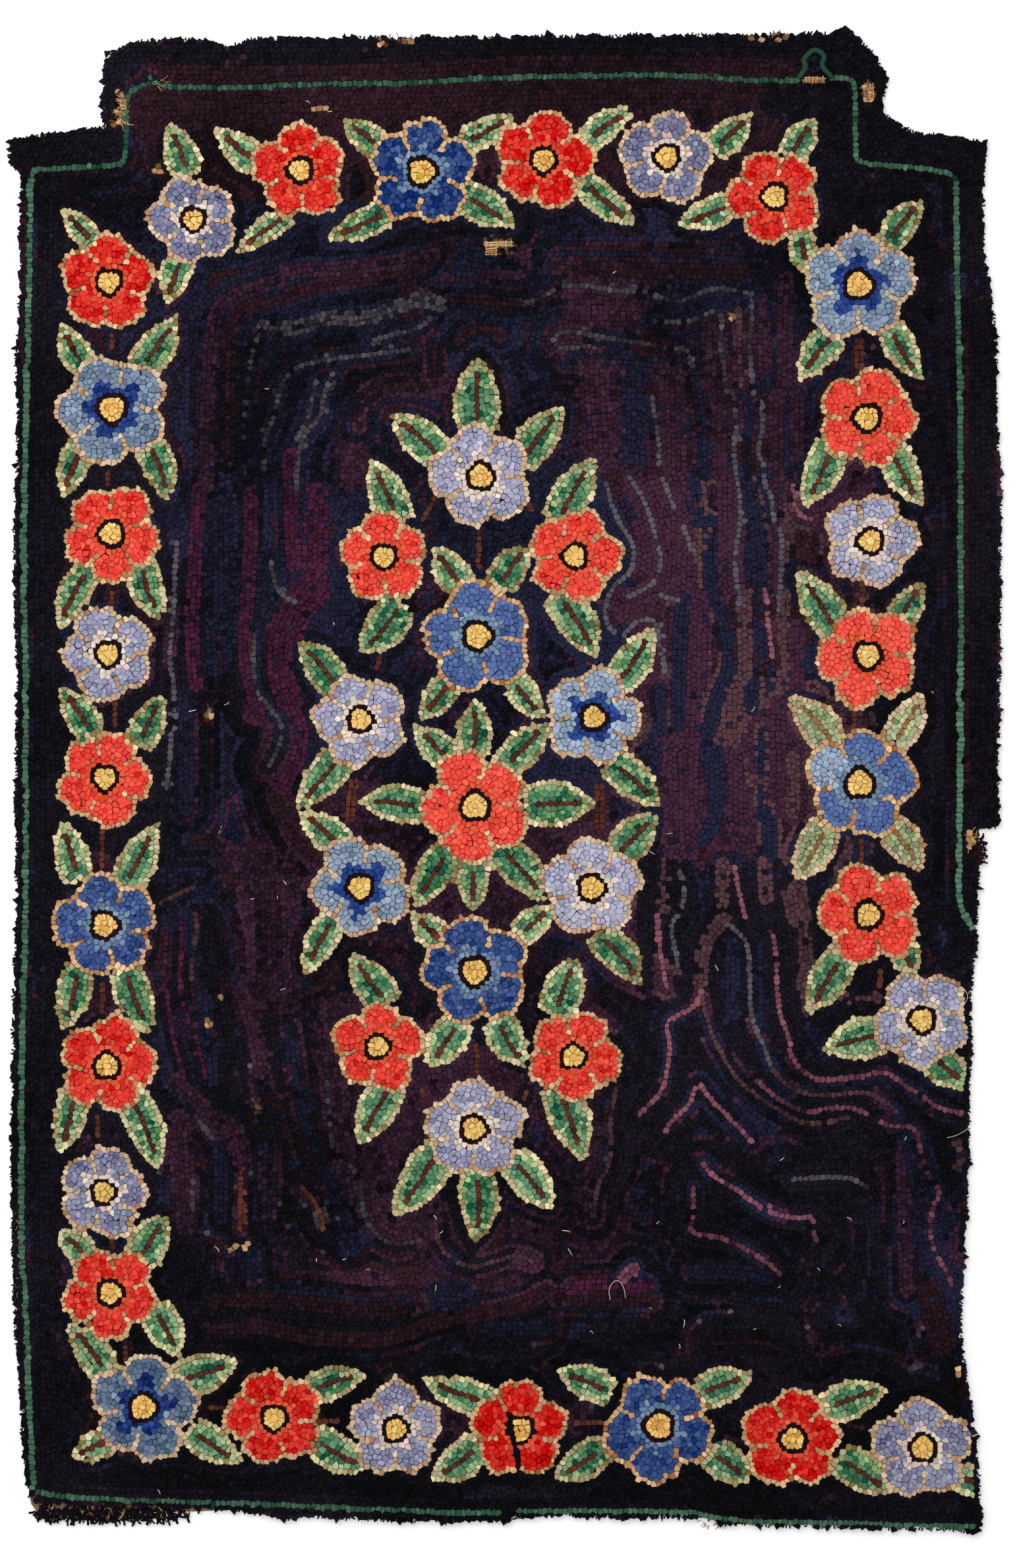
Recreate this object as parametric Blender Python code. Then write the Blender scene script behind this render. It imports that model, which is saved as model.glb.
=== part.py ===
"""A hooked rug: cloth strips pulled up as loops through a hessian foundation, with a worn, uneven rim.

The rug lies flat. +X runs to the right of the photo, +Y up the photo and +Z up. The origin is on the
surface, under the middle of the rug's bounding box.
"""

import math

import bmesh
import bpy
from mathutils import Matrix, Vector, noise
from mathutils.geometry import delaunay_2d_cdt

# Driving sizes, in metres
RUG_LENGTH = 1.326
FOUNDATION_THICKNESS = 0.0012
PILE_HEIGHT = 0.0065
TOUCHING_GAP = 0.0003

# The unevenness of the handwork, in metres
RIM_STEP = 0.011
RIM_WAVER = 0.0012
HOLE_STEP = 0.004
HOLE_WAVER = 0.0006
FOUNDATION_INSET = 0.002
SURFACE_STEP = 0.034
SURFACE_WAVER = 0.0007
SURFACE_CLEARANCE = 0.008

# The photo's pixels, as a scale for the places read off it
RUG_LENGTH_PX = 2285
METRES_PER_PX = RUG_LENGTH / RUG_LENGTH_PX

# The rim's corners and bends, clockwise from the left shoulder: a place on the photo, with y down, and how
# far the loops stand back there from the edge of the bare foundation
RIM = (
    # x_px, y_px, bare_px
    (15, 213, 0),
    (80, 200, 0),
    (158, 192, 0),
    (153, 150, 0),
    (158, 86, 0),
    (200, 60, 0),
    (310, 58, 0),
    (345, 69, 0),
    (395, 57, 0),
    (640, 55, 0),
    (1060, 52, 0),
    (1262, 50, 0),
    (1280, 40, 0),
    (1298, 50, 0),
    (1325, 78, 0),
    (1345, 118, 0),
    (1338, 172, 0),
    (1385, 198, 0),
    (1497, 214, 0),
    (1490, 350, 0),
    (1501, 430, 0),
    (1513, 520, 0),
    (1512, 640, 0),
    (1520, 730, 0),
    (1518, 940, 0),
    (1515, 1140, 0),
    (1516, 1256, 0),
    (1490, 1260, 8),
    (1487, 1330, 0),
    (1481, 1450, 0),
    (1472, 1510, 0),
    (1474, 1590, 0),
    (1470, 1740, 0),
    (1465, 1890, 0),
    (1458, 2020, 0),
    (1478, 2170, 0),
    (1491, 2312, 0),
    (1487, 2325, 0),
    (1300, 2320, 0),
    (1095, 2319, 4),
    (1065, 2305, 0),
    (785, 2302, 0),
    (772, 2313, 0),
    (430, 2305, 0),
    (380, 2297, 0),
    (262, 2300, 13),
    (242, 2311, 24),
    (60, 2311, 28),
    (42, 2285, 14),
    (38, 2255, 0),
    (30, 2110, 0),
    (18, 1950, 0),
    (17, 1750, 0),
    (19, 1560, 0),
    (25, 1370, 0),
    (22, 1180, 0),
    (25, 1050, 0),
    (20, 840, 0),
    (26, 640, 0),
    (23, 560, 0),
    (30, 440, 0),
    (30, 262, 0),
    (13, 243, 0),
)

# The spots where the loops are gone, as an oval each: its middle, its half width and half height on the photo
# and how far it is turned
BARE_SPOTS = (
    # x_px, y_px, half_x_px, half_y_px, turn_degrees
    (180, 163, 8, 24, 6),
    (757, 371, 25, 13, -8),
    (1236, 121, 17, 6, 0),
    (1110, 476, 7, 7, 0),
    (388, 1677, 7, 13, 18),
    (316, 1078, 7, 11, 0),
)

# Colours as linear RGB
HESSIAN = (0.62, 0.42, 0.22, 1.0)
DARK_STRIPS = (0.012, 0.010, 0.020, 1.0)


def on_floor(x_px, y_px):
    """A place on the photo as a place on the floor, before the rug is centred."""
    return Vector((x_px * METRES_PER_PX, -y_px * METRES_PER_PX))


def waver(place, size, seed):
    """A smooth number between about -1 and 1 that changes over the given size."""
    return 2.0 * noise.noise(Vector((place.x / size, place.y / size, seed)))


def inward(before, after):
    """The unit vector that points into the rug from a rim walked clockwise."""
    along = (after - before).normalized()
    return Vector((along.y, -along.x))


def rim(of_loops):
    """The rug's rim: of the loops, ragged and back from the bare stretches, or of the foundation below."""
    corners = [on_floor(x_px, y_px) for x_px, y_px, _ in RIM]
    count = len(corners)
    normals = [inward(corners[k - 1], corners[(k + 1) % count]) for k in range(count)]
    points = []
    for k, start in enumerate(corners):
        following = (k + 1) % count
        end = corners[following]
        steps = max(1, round((end - start).length / RIM_STEP))
        for step in range(steps):
            share = step / steps
            place = start.lerp(end, share)
            normal = normals[k].lerp(normals[following], share).normalized()
            if of_loops:
                bare_px = RIM[k][2] + (RIM[following][2] - RIM[k][2]) * share
                depth = bare_px * METRES_PER_PX + RIM_WAVER * waver(place, RIM_STEP, 1.7)
            else:
                depth = FOUNDATION_INSET
            points.append(place + normal * depth)
    return points


def bare_spot(x_px, y_px, half_x_px, half_y_px, turn_degrees):
    """The ragged oval hole of one bare spot in the loops."""
    middle = on_floor(x_px, y_px)
    half_x = half_x_px * METRES_PER_PX
    half_y = half_y_px * METRES_PER_PX
    turn = Matrix.Rotation(math.radians(turn_degrees), 2)
    count = max(8, round(math.pi * (half_x + half_y) / HOLE_STEP))
    points = []
    for k in range(count):
        angle = 2.0 * math.pi * k / count
        offset = turn @ Vector((half_x * math.cos(angle), half_y * math.sin(angle)))
        place = middle + offset
        points.append(place + offset.normalized() * HOLE_WAVER * waver(place, HOLE_STEP, 4.2))
    return points


def inside(place, outline):
    """Whether a place lies inside a closed outline."""
    crossings = 0
    for k, start in enumerate(outline):
        end = outline[(k + 1) % len(outline)]
        if (start.y > place.y) != (end.y > place.y):
            share = (place.y - start.y) / (end.y - start.y)
            if place.x < start.x + share * (end.x - start.x):
                crossings += 1
    return crossings % 2 == 1


def clear_of(place, outlines, clearance):
    """Whether a place stands at least the clearance away from every outline point."""
    return all((place - point).length > clearance for outline in outlines for point in outline)


def surface_points(outlines):
    """A staggered net of places inside the rug that lets its surface rise and fall."""
    outer = outlines[0]
    low_x, high_x = min(p.x for p in outer), max(p.x for p in outer)
    low_y, high_y = min(p.y for p in outer), max(p.y for p in outer)
    points = []
    for row in range(int((high_y - low_y) / SURFACE_STEP) + 1):
        stagger = 0.5 * SURFACE_STEP * (row % 2)
        for column in range(int((high_x - low_x) / SURFACE_STEP) + 1):
            place = Vector((low_x + stagger + column * SURFACE_STEP, low_y + row * SURFACE_STEP))
            if not inside(place, outer) or any(inside(place, hole) for hole in outlines[1:]):
                continue
            if clear_of(place, outlines, SURFACE_CLEARANCE):
                points.append(place)
    return points


def slab(name, outlines, inner_points, low, high, surface_waver, material):
    """A closed slab between two heights, with the first outline as its rim and the others as its holes."""
    places = list(inner_points)
    edges = []
    for outline in outlines:
        first = len(places)
        places.extend(outline)
        edges.extend((first + k, first + (k + 1) % len(outline)) for k in range(len(outline)))
    tolerance = 1e-7
    flat, _, faces, _, _, _ = delaunay_2d_cdt(places, edges, [], 0, tolerance)
    mesh = bmesh.new()
    bottom = [mesh.verts.new((place.x, place.y, low)) for place in flat]
    top = [mesh.verts.new((p.x, p.y, high + surface_waver * waver(p, SURFACE_STEP * 2.0, 8.3))) for p in flat]
    walls = {}
    for face in faces:
        middle = sum((flat[k] for k in face), Vector((0.0, 0.0))) / len(face)
        if not inside(middle, outlines[0]) or any(inside(middle, hole) for hole in outlines[1:]):
            continue
        mesh.faces.new([top[k] for k in face])
        mesh.faces.new([bottom[k] for k in reversed(face)])
        for k, start in enumerate(face):
            end = face[(k + 1) % len(face)]
            if walls.pop((end, start), None) is None:
                walls[(start, end)] = True
    for start, end in walls:
        mesh.faces.new((bottom[start], bottom[end], top[end], top[start]))
    loose = [vertex for vertex in mesh.verts if not vertex.link_faces]
    bmesh.ops.delete(mesh, geom=loose, context="VERTS")
    data = bpy.data.meshes.new(name)
    mesh.to_mesh(data)
    mesh.free()
    data.materials.append(material)
    piece = bpy.data.objects.new(name, data)
    bpy.context.scene.collection.objects.link(piece)
    return piece


def matte_cloth(name, colour):
    """A plain matte cloth material."""
    material = bpy.data.materials.new(name)
    material.use_nodes = True
    shader = material.node_tree.nodes["Principled BSDF"]
    shader.inputs["Base Color"].default_value = colour
    shader.inputs["Roughness"].default_value = 0.95
    shader.inputs["Metallic"].default_value = 0.0
    return material


def foundation(shift):
    """The hessian that the loops are hooked through. Its underside lies on the floor."""
    outlines = [[point + shift for point in rim(of_loops=False)]]
    return slab(
        "foundation", outlines, [], 0.0, FOUNDATION_THICKNESS, 0.0, matte_cloth("hessian", HESSIAN)
    )


def hooked_pile(shift):
    """The loops as one slab with a softly uneven top, holed where they are worn away."""
    outlines = [rim(of_loops=True)] + [bare_spot(*spot) for spot in BARE_SPOTS]
    outlines = [[point + shift for point in outline] for outline in outlines]
    low = FOUNDATION_THICKNESS + TOUCHING_GAP
    material = matte_cloth("cloth_strips", DARK_STRIPS)
    return slab(
        "hooked_pile", outlines, surface_points(outlines), low, low + PILE_HEIGHT, SURFACE_WAVER, material
    )


def centring():
    """The move that brings the middle of the rug's bounding box over the origin."""
    points = rim(of_loops=True) + rim(of_loops=False)
    middle_x = (min(p.x for p in points) + max(p.x for p in points)) / 2.0
    middle_y = (min(p.y for p in points) + max(p.y for p in points)) / 2.0
    return Vector((-middle_x, -middle_y))


def main():
    for old in list(bpy.data.objects):
        bpy.data.objects.remove(old, do_unlink=True)
    shift = centring()
    foundation(shift)
    hooked_pile(shift)


if __name__ == "__main__":
    main()
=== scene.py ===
"""The looks of a hooked rug: rows of cloth loops that draw a garland and a bouquet on a dark ground.

Every loop is modelled. The rows are laid out as a rug hooker works them: first the outlines, veins, rings and
the border line, then row after row beside them until the shapes and the ground between them are full.
"""

import functools
import math
from collections import namedtuple

import bmesh
import bpy
import numpy as np
from mathutils import Matrix, Vector, kdtree, noise
from mathutils.bvhtree import BVHTree
from mathutils.geometry import delaunay_2d_cdt


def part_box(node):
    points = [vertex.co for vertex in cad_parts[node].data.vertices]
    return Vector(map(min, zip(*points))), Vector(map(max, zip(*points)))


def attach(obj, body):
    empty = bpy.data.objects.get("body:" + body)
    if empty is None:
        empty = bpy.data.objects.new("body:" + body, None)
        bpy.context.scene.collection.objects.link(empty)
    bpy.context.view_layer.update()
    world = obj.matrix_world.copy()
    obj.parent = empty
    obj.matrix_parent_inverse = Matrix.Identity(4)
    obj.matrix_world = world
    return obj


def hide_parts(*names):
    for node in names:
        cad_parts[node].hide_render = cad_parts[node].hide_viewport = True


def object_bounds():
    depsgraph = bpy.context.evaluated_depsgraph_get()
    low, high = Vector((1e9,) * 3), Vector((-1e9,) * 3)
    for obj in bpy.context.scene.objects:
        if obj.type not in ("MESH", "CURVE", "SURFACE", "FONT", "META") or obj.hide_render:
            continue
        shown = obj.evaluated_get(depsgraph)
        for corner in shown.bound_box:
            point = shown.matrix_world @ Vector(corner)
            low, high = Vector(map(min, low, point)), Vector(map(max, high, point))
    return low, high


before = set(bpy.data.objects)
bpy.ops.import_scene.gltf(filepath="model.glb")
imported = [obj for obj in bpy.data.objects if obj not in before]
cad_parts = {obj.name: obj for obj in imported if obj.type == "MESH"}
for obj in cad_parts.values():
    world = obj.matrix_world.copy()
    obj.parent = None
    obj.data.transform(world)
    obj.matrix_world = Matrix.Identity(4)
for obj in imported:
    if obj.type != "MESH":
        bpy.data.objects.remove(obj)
CAD_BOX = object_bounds()
PILE_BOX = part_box("hooked_pile")
FOUNDATION_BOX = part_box("foundation")

bl_info = {
    "name": "Hooked Rug",
    "version": (1, 0, 0),
    "blender": (4, 5, 0),
    "location": "View3D > Sidebar > Hooked Rug",
    "description": "Lays out and models the loops, foundation and loose threads of a hooked rug",
    "category": "Add Mesh",
}

# The photo's pixels as a scale for the places read off it
RUG_LENGTH_PX = 2287.2
MIDDLE_X_PX = 766.6
MIDDLE_Y_PX = 1183.1
PHOTO_WIDTH_PX = 1543
PHOTO_HEIGHT_PX = 2380
HIGH_END = max(PILE_BOX[1].y, FOUNDATION_BOX[1].y)
LOW_END = min(PILE_BOX[0].y, FOUNDATION_BOX[0].y)
PX = (HIGH_END - LOW_END) / RUG_LENGTH_PX

# The flowers: petals' cloth, middle, reach of the petals, direction of one petal anticlockwise from the right,
# and how light the petals are, from 0 to 1: partly the cloth's own tone and partly painted light, lighter
# towards the middle and right of the rug and darker towards its top and foot
Flower = namedtuple("Flower", "kind x_px y_px reach_px petal_degrees light")
FLOWERS = [Flower(*row) for row in (
    ("red", 165, 428, 73, 86, 0.10), ("periwinkle", 293, 333, 68, 108, 0.0), ("red", 455, 258, 73, 95, 0.10),
    ("royal", 640, 260, 84, 85, 0.0), ("red", 825, 243, 75, 78, 0.05), ("periwinkle", 1012, 238, 73, 82, 0.0),
    ("red", 1175, 298, 76, 113, 0.30), ("steel", 1303, 432, 86, 88, 0.55), ("steel", 170, 620, 86, 111, 0.35),
    ("red", 168, 810, 76, 127, 0.50), ("periwinkle", 164, 993, 73, 108, 0.50), ("red", 159, 1181, 74, 140, 0.55),
    ("royal", 159, 1404, 80, 102, 0.35), ("red", 162, 1618, 76, 78, 0.30), ("periwinkle", 157, 1810, 70, 75, 0.20),
    ("red", 167, 1963, 74, 123, 0.30), ("red", 1316, 634, 78, 70, 0.65), ("periwinkle", 1321, 821, 74, 75, 0.75),
    ("red", 1317, 995, 79, 110, 1.0), ("royal", 1305, 1189, 86, 80, 0.90), ("red", 1318, 1389, 79, 107, 0.70),
    ("periwinkle", 1399, 1549, 76, 49, 0.60), ("steel", 217, 2137, 82, 81, 0.0), ("red", 416, 2153, 74, 108, 0.10),
    ("periwinkle", 600, 2170, 73, 87, 0.35), ("red", 790, 2170, 75, 89, 0.0), ("royal", 1000, 2165, 85, 122, 0.20),
    ("red", 1203, 2185, 77, 86, 0.05), ("periwinkle", 1400, 2198, 77, 93, 0.30),
    ("periwinkle", 729, 723, 78, 104, 0.65), ("red", 582, 845, 71, 95, 0.60), ("red", 872, 844, 71, 74, 0.65),
    ("royal", 725, 965, 84, 100, 0.75), ("periwinkle", 547, 1092, 72, 107, 0.70), ("steel", 901, 1089, 75, 74, 1.0),
    ("red", 721, 1224, 85, 41, 0.80), ("steel", 546, 1347, 77, 47, 0.65), ("periwinkle", 898, 1348, 78, 92, 0.95),
    ("royal", 720, 1475, 85, 29, 0.20), ("red", 573, 1589, 70, 85, 0.45), ("red", 870, 1604, 72, 61, 0.50),
    ("periwinkle", 719, 1714, 77, 92, 0.60),
)]
ODD_FLOWER = 19
ODD_PETAL = 1
ODD_PETAL_KIND = "steel"

# The leaves: tip, base, width, and 1 where the cloth is a pale yellow-green
Leaf = namedtuple("Leaf", "tip_x_px tip_y_px base_x_px base_y_px width_px pale")
LEAVES = [Leaf(*row) for row in (
    (95, 317, 142, 368, 42, 0), (93, 490, 132, 562, 48, 0), (268, 480, 213, 556, 58, 0),
    (257, 186, 285, 264, 55, 0), (254, 462, 280, 385, 50, 0), (324, 193, 408, 255, 55, 0),
    (358, 383, 438, 325, 40, 0), (520, 181, 588, 235, 50, 0), (496, 361, 590, 318, 48, 0),
    (779, 174, 706, 216, 45, 0), (780, 341, 703, 296, 58, 0), (961, 166, 892, 213, 48, 0),
    (966, 341, 885, 276, 48, 0), (1140, 172, 1084, 226, 50, 0), (1237, 178, 1199, 238, 50, 0),
    (1028, 341, 1112, 309, 50, 0), (1233, 425, 1213, 350, 45, 0), (1400, 300, 1348, 370, 50, 0),
    (1211, 577, 1273, 498, 55, 0), (1397, 576, 1352, 498, 50, 0), (95, 757, 128, 665, 50, 0),
    (258, 760, 222, 665, 55, 0), (90, 956, 135, 862, 50, 0), (243, 942, 215, 855, 55, 0),
    (91, 1042, 138, 1115, 52, 0), (247, 1054, 212, 1130, 52, 0), (92, 1246, 118, 1335, 55, 0),
    (238, 1250, 190, 1345, 58, 0), (94, 1564, 118, 1468, 55, 0), (229, 1570, 190, 1470, 60, 0),
    (90, 1752, 115, 1655, 52, 0), (241, 1776, 200, 1665, 58, 0), (88, 1868, 135, 1912, 48, 0),
    (253, 1842, 208, 1918, 60, 0), (272, 2060, 235, 1985, 58, 0),
    (1218, 770, 1262, 672, 60, 0), (1400, 768, 1348, 672, 55, 0), (1210, 866, 1270, 958, 62, 0),
    (1402, 883, 1358, 950, 50, 0), (1197, 1057, 1267, 1132, 62, 1), (1400, 1050, 1355, 1130, 55, 1),
    (1207, 1338, 1253, 1255, 62, 1), (1398, 1323, 1347, 1250, 58, 1), (1226, 1538, 1280, 1450, 62, 0),
    (1392, 1480, 1362, 1425, 50, 0), (1249, 1594, 1345, 1570, 66, 0), (1470, 1651, 1406, 1600, 60, 0),
    (103, 2010, 160, 2085, 55, 0), (361, 2066, 272, 2094, 62, 0), (108, 2213, 166, 2189, 45, 0),
    (366, 2221, 290, 2170, 55, 0), (556, 2086, 465, 2116, 52, 0), (560, 2230, 478, 2185, 60, 0),
    (642, 2094, 745, 2130, 55, 0), (654, 2246, 725, 2195, 60, 0), (845, 2080, 925, 2115, 55, 0),
    (841, 2244, 915, 2199, 58, 0), (1143, 2088, 1060, 2118, 60, 0), (1138, 2250, 1080, 2205, 60, 0),
    (1346, 2108, 1255, 2140, 58, 0), (1355, 2266, 1275, 2213, 62, 0), (1500, 2262, 1450, 2240, 50, 0),
    (725, 541, 725, 651, 73, 0), (590, 628, 670, 695, 60, 0), (856, 616, 792, 699, 60, 0),
    (563, 697, 606, 791, 60, 0), (545, 993, 608, 915, 66, 0), (901, 694, 847, 791, 64, 0),
    (907, 999, 847, 903, 62, 0), (657, 829, 705, 892, 56, 0), (800, 826, 758, 890, 56, 0),
    (637, 1092, 682, 1034, 50, 0), (824, 1092, 778, 1034, 50, 0), (453, 972, 512, 1045, 58, 0),
    (449, 1228, 524, 1142, 58, 0), (991, 951, 935, 1038, 60, 0), (1001, 1224, 928, 1157, 58, 0),
    (722, 1061, 722, 1145, 55, 0), (628, 1103, 685, 1157, 52, 0), (832, 1095, 766, 1161, 55, 0),
    (546, 1217, 640, 1226, 60, 0), (905, 1218, 800, 1222, 72, 0), (630, 1377, 682, 1292, 60, 0),
    (720, 1385, 720, 1312, 50, 0), (828, 1369, 758, 1288, 62, 0), (453, 1232, 525, 1290, 55, 0),
    (462, 1479, 508, 1392, 52, 0), (997, 1233, 932, 1300, 62, 0), (974, 1496, 908, 1419, 58, 0),
    (624, 1385, 674, 1431, 48, 0), (841, 1377, 789, 1419, 50, 0), (651, 1623, 697, 1552, 60, 0),
    (799, 1621, 755, 1548, 58, 0), (530, 1446, 589, 1523, 60, 0), (545, 1738, 593, 1648, 62, 0),
    (874, 1450, 843, 1538, 65, 0), (885, 1761, 847, 1652, 66, 0), (597, 1848, 666, 1744, 66, 0),
    (722, 1888, 722, 1778, 62, 0), (837, 1836, 778, 1759, 62, 0),
)]

# The stems and other single rows: cloth, then the places that the row runs through
LINES = (
    # cloth, (x_px, y_px) of each place
    ("crack", (772, 2143), (776, 2165), (782, 2195), (787, 2225), (790, 2240)),
    ("stem", (170, 505), (170, 530)),
    ("stem", (163, 715), (163, 740)),
    ("stem", (170, 895), (170, 920)),
    ("stem", (174, 1062), (174, 1105)),
    ("stem", (155, 1252), (155, 1318)),
    ("stem", (155, 1490), (155, 1540)),
    ("stem", (148, 1690), (148, 1728)),
    ("stem", (170, 1878), (170, 1897)),
    ("stem", (190, 2042), (190, 2070)),
    ("stem", (1300, 512), (1300, 560)),
    ("stem", (1308, 512), (1308, 560)),
    ("stem", (1308, 880), (1308, 915)),
    ("stem", (1297, 1065), (1297, 1105)),
    ("stem", (1307, 1265), (1307, 1310)),
    ("stem", (1335, 1470), (1335, 1500)),
    ("stem", (315, 2137), (340, 2137)),
    ("stem", (475, 2157), (515, 2157)),
    ("stem", (870, 2160), (915, 2160)),
    ("stem", (727, 805), (727, 864)),
    ("stem", (663, 750), (640, 791)),
    ("stem", (799, 759), (810, 777)),
    ("stem", (576, 993), (571, 1018)),
    ("stem", (891, 1000), (895, 1016)),
    ("stem", (533, 1181), (526, 1250)),
    ("stem", (541, 1181), (534, 1250)),
    ("stem", (905, 1190), (905, 1260)),
    ("stem", (914, 1190), (914, 1260)),
    ("stem", (723, 1582), (723, 1636)),
    ("stem", (637, 1652), (650, 1675)),
    ("stem", (800, 1655), (794, 1672)),
    ("stem", (562, 1425), (562, 1438)),
    ("maroon", (690, 2166), (706, 2170)),
    ("maroon", (1098, 2180), (1134, 2192)),
    ("maroon", (1098, 2190), (1128, 2202)),
    ("maroon", (1285, 2163), (1312, 2167)),
)

# The border line, clockwise from its lower left end, and the lower line, in stretches of one width and tone
BORDER_LINES = (
    # width_px, lightness, (x_px, y_px) of each place
    (11, 0.7, (51, 2262), (44, 2130), (42, 2060), (37, 1960), (32, 1900), (33, 1800), (32, 1700), (33, 1600), (36, 1460),
     (38, 1400), (39, 1250), (39, 1100), (38, 1000), (36, 900), (36, 800), (38, 700), (42, 520), (44, 440),
     (45, 300), (48, 262)),
    (9, 0.25, (48, 260), (60, 256), (100, 255), (150, 252), (182, 250), (190, 240), (191, 190), (192, 142), (215, 130),
     (226, 126), (229, 112), (233, 124), (244, 130), (300, 133), (400, 132), (460, 127), (600, 127), (680, 122),
     (740, 118), (880, 115), (1000, 113), (1080, 117), (1140, 121), (1212, 122)),
    (9, 0.5, (1258, 118), (1290, 118), (1298, 125), (1298, 240), (1304, 247), (1340, 250), (1400, 254), (1440, 262),
     (1451, 272)),
    (10, 0.6, (1451, 274), (1453, 460), (1458, 640), (1457, 760), (1459, 940), (1457, 1000)),
    (13, 1.25, (1457, 1004), (1457, 1100), (1457, 1200), (1455, 1300), (1456, 1380), (1478, 1412)),
    (8, 0.4, (54, 2264), (100, 2273), (200, 2278), (380, 2283), (500, 2288), (600, 2293), (700, 2296), (760, 2296)),
    (8, 0.6, (785, 2294), (900, 2294), (1050, 2295), (1080, 2303), (1120, 2309), (1180, 2311), (1240, 2312),
     (1300, 2313), (1380, 2316), (1478, 2318)),
)

# Loops of another cloth where the rug is worn or was mended: a place, how far it reaches, and the cloth
Worn = namedtuple("Worn", "x_px y_px reach_x_px reach_y_px cloth")
WORN = [Worn(*row) for row in (
    (184, 150, 9, 14, "worn"), (172, 186, 9, 6, "worn"), (238, 258, 9, 6, "worn"), (580, 66, 9, 6, "worn"),
    (620, 64, 18, 5, "worn"), (1150, 60, 16, 5, "worn"), (1188, 60, 10, 5, "worn"), (1315, 140, 8, 18, "worn"),
    (485, 164, 12, 5, "worn"), (335, 1513, 7, 6, "worn"), (318, 1553, 7, 6, "worn"), (353, 1893, 7, 6, "worn"),
    (372, 1893, 7, 6, "worn"), (1474, 1275, 7, 14, "worn"), (1455, 2083, 8, 7, "worn"),
    (365, 1800, 7, 26, "stem"), (368, 1845, 7, 14, "stem"), (1110, 484, 9, 6, "worn"), (316, 1090, 8, 6, "worn"),
)]

# Where the ground is lighter or darker: middle, reach and how much lighter. It is lighter towards the middle of
# the rug and darker along its foot and at its upper right, with smaller patches both ways
GROUND_TONE_SHIFTS = (
    # x_px, y_px, half_x_px, half_y_px, lighter
    (1050, 960, 210, 330, 0.90),
    (1040, 1300, 220, 330, 0.55),
    (210, 560, 110, 170, 0.40),
    (200, 1010, 120, 260, 0.50),
    (500, 900, 140, 260, 0.25),
    (385, 590, 120, 130, -0.35),
    (1080, 1640, 320, 220, 0.35),
    (240, 1500, 130, 260, 0.20),
    (760, 2210, 1000, 190, -0.35),
    (1390, 300, 160, 300, -0.20),
    (300, 2000, 220, 130, -0.15),
)

# The tattered places: cloth, middle, how far they reach, the number and length of the loose ends, the direction
# that these take anticlockwise from the right and how far it varies, and their height
TATTERED = (
    # cloth, x_px, y_px, half_x_px, half_y_px, count, length_px, heading_degrees, spread_degrees, height_m
    ("bare", 170, 2291, 120, 7, 70, 14, -90, 25, 0.0040),
    ("worn", 180, 2296, 125, 8, 60, 13, 80, 45, 0.0030),
    ("black", 168, 2298, 122, 11, 330, 10, -90, 45, 0.0036),
    ("maroon", 70, 2294, 24, 8, 24, 8, 0, 70, 0.0022),
    ("bare", 176, 164, 12, 24, 26, 22, -50, 18, 0.0060),
    ("black", 168, 162, 15, 28, 60, 9, 180, 60, 0.0030),
    ("worn", 1320, 142, 5, 18, 16, 14, 90, 25, 0.0076),
    ("worn", 757, 371, 22, 10, 50, 8, 10, 90, 0.0050),
    ("worn", 1236, 121, 14, 4, 24, 9, 0, 80, 0.0040),
    ("worn", 240, 126, 8, 6, 6, 14, -40, 20, 0.0080),
    ("bare", 1472, 1274, 7, 14, 22, 12, 10, 50, 0.0078),
    ("maroon", 1482, 1290, 8, 22, 60, 10, 0, 40, 0.0070),
    ("worn", 1080, 2312, 20, 5, 14, 9, -80, 40, 0.0020),
    ("worn", 600, 60, 30, 4, 18, 8, 90, 50, 0.0070),
    ("worn", 1178, 56, 16, 4, 16, 8, 90, 50, 0.0070),
    ("worn", 30, 1850, 5, 200, 26, 7, 180, 50, 0.0070),
)

# The strip of the border line that has been pulled out into an arch over a bare spot
PULLED_STRIP = (
    (1211, 121), (1217, 111), (1224, 102), (1219, 92), (1226, 82), (1236, 75), (1247, 80), (1252, 88), (1246, 97),
    (1252, 107), (1259, 113), (1264, 120),
)

# The patches where the weave of the bare hessian shows between the loops, each as an upright box on the photo
BARE_PATCHES = (
    # low_x_px, low_y_px, high_x_px, high_y_px, height_m
    (735, 366, 778, 375, 0.0084),
    (736, 375, 755, 388, 0.0084),
    (1218, 115, 1252, 126, 0.0076),
    (1318, 126, 1326, 150, 0.0086),
    (182, 150, 192, 166, 0.0078),
)
BARE_PITCH = 3.2 * PX

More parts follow.
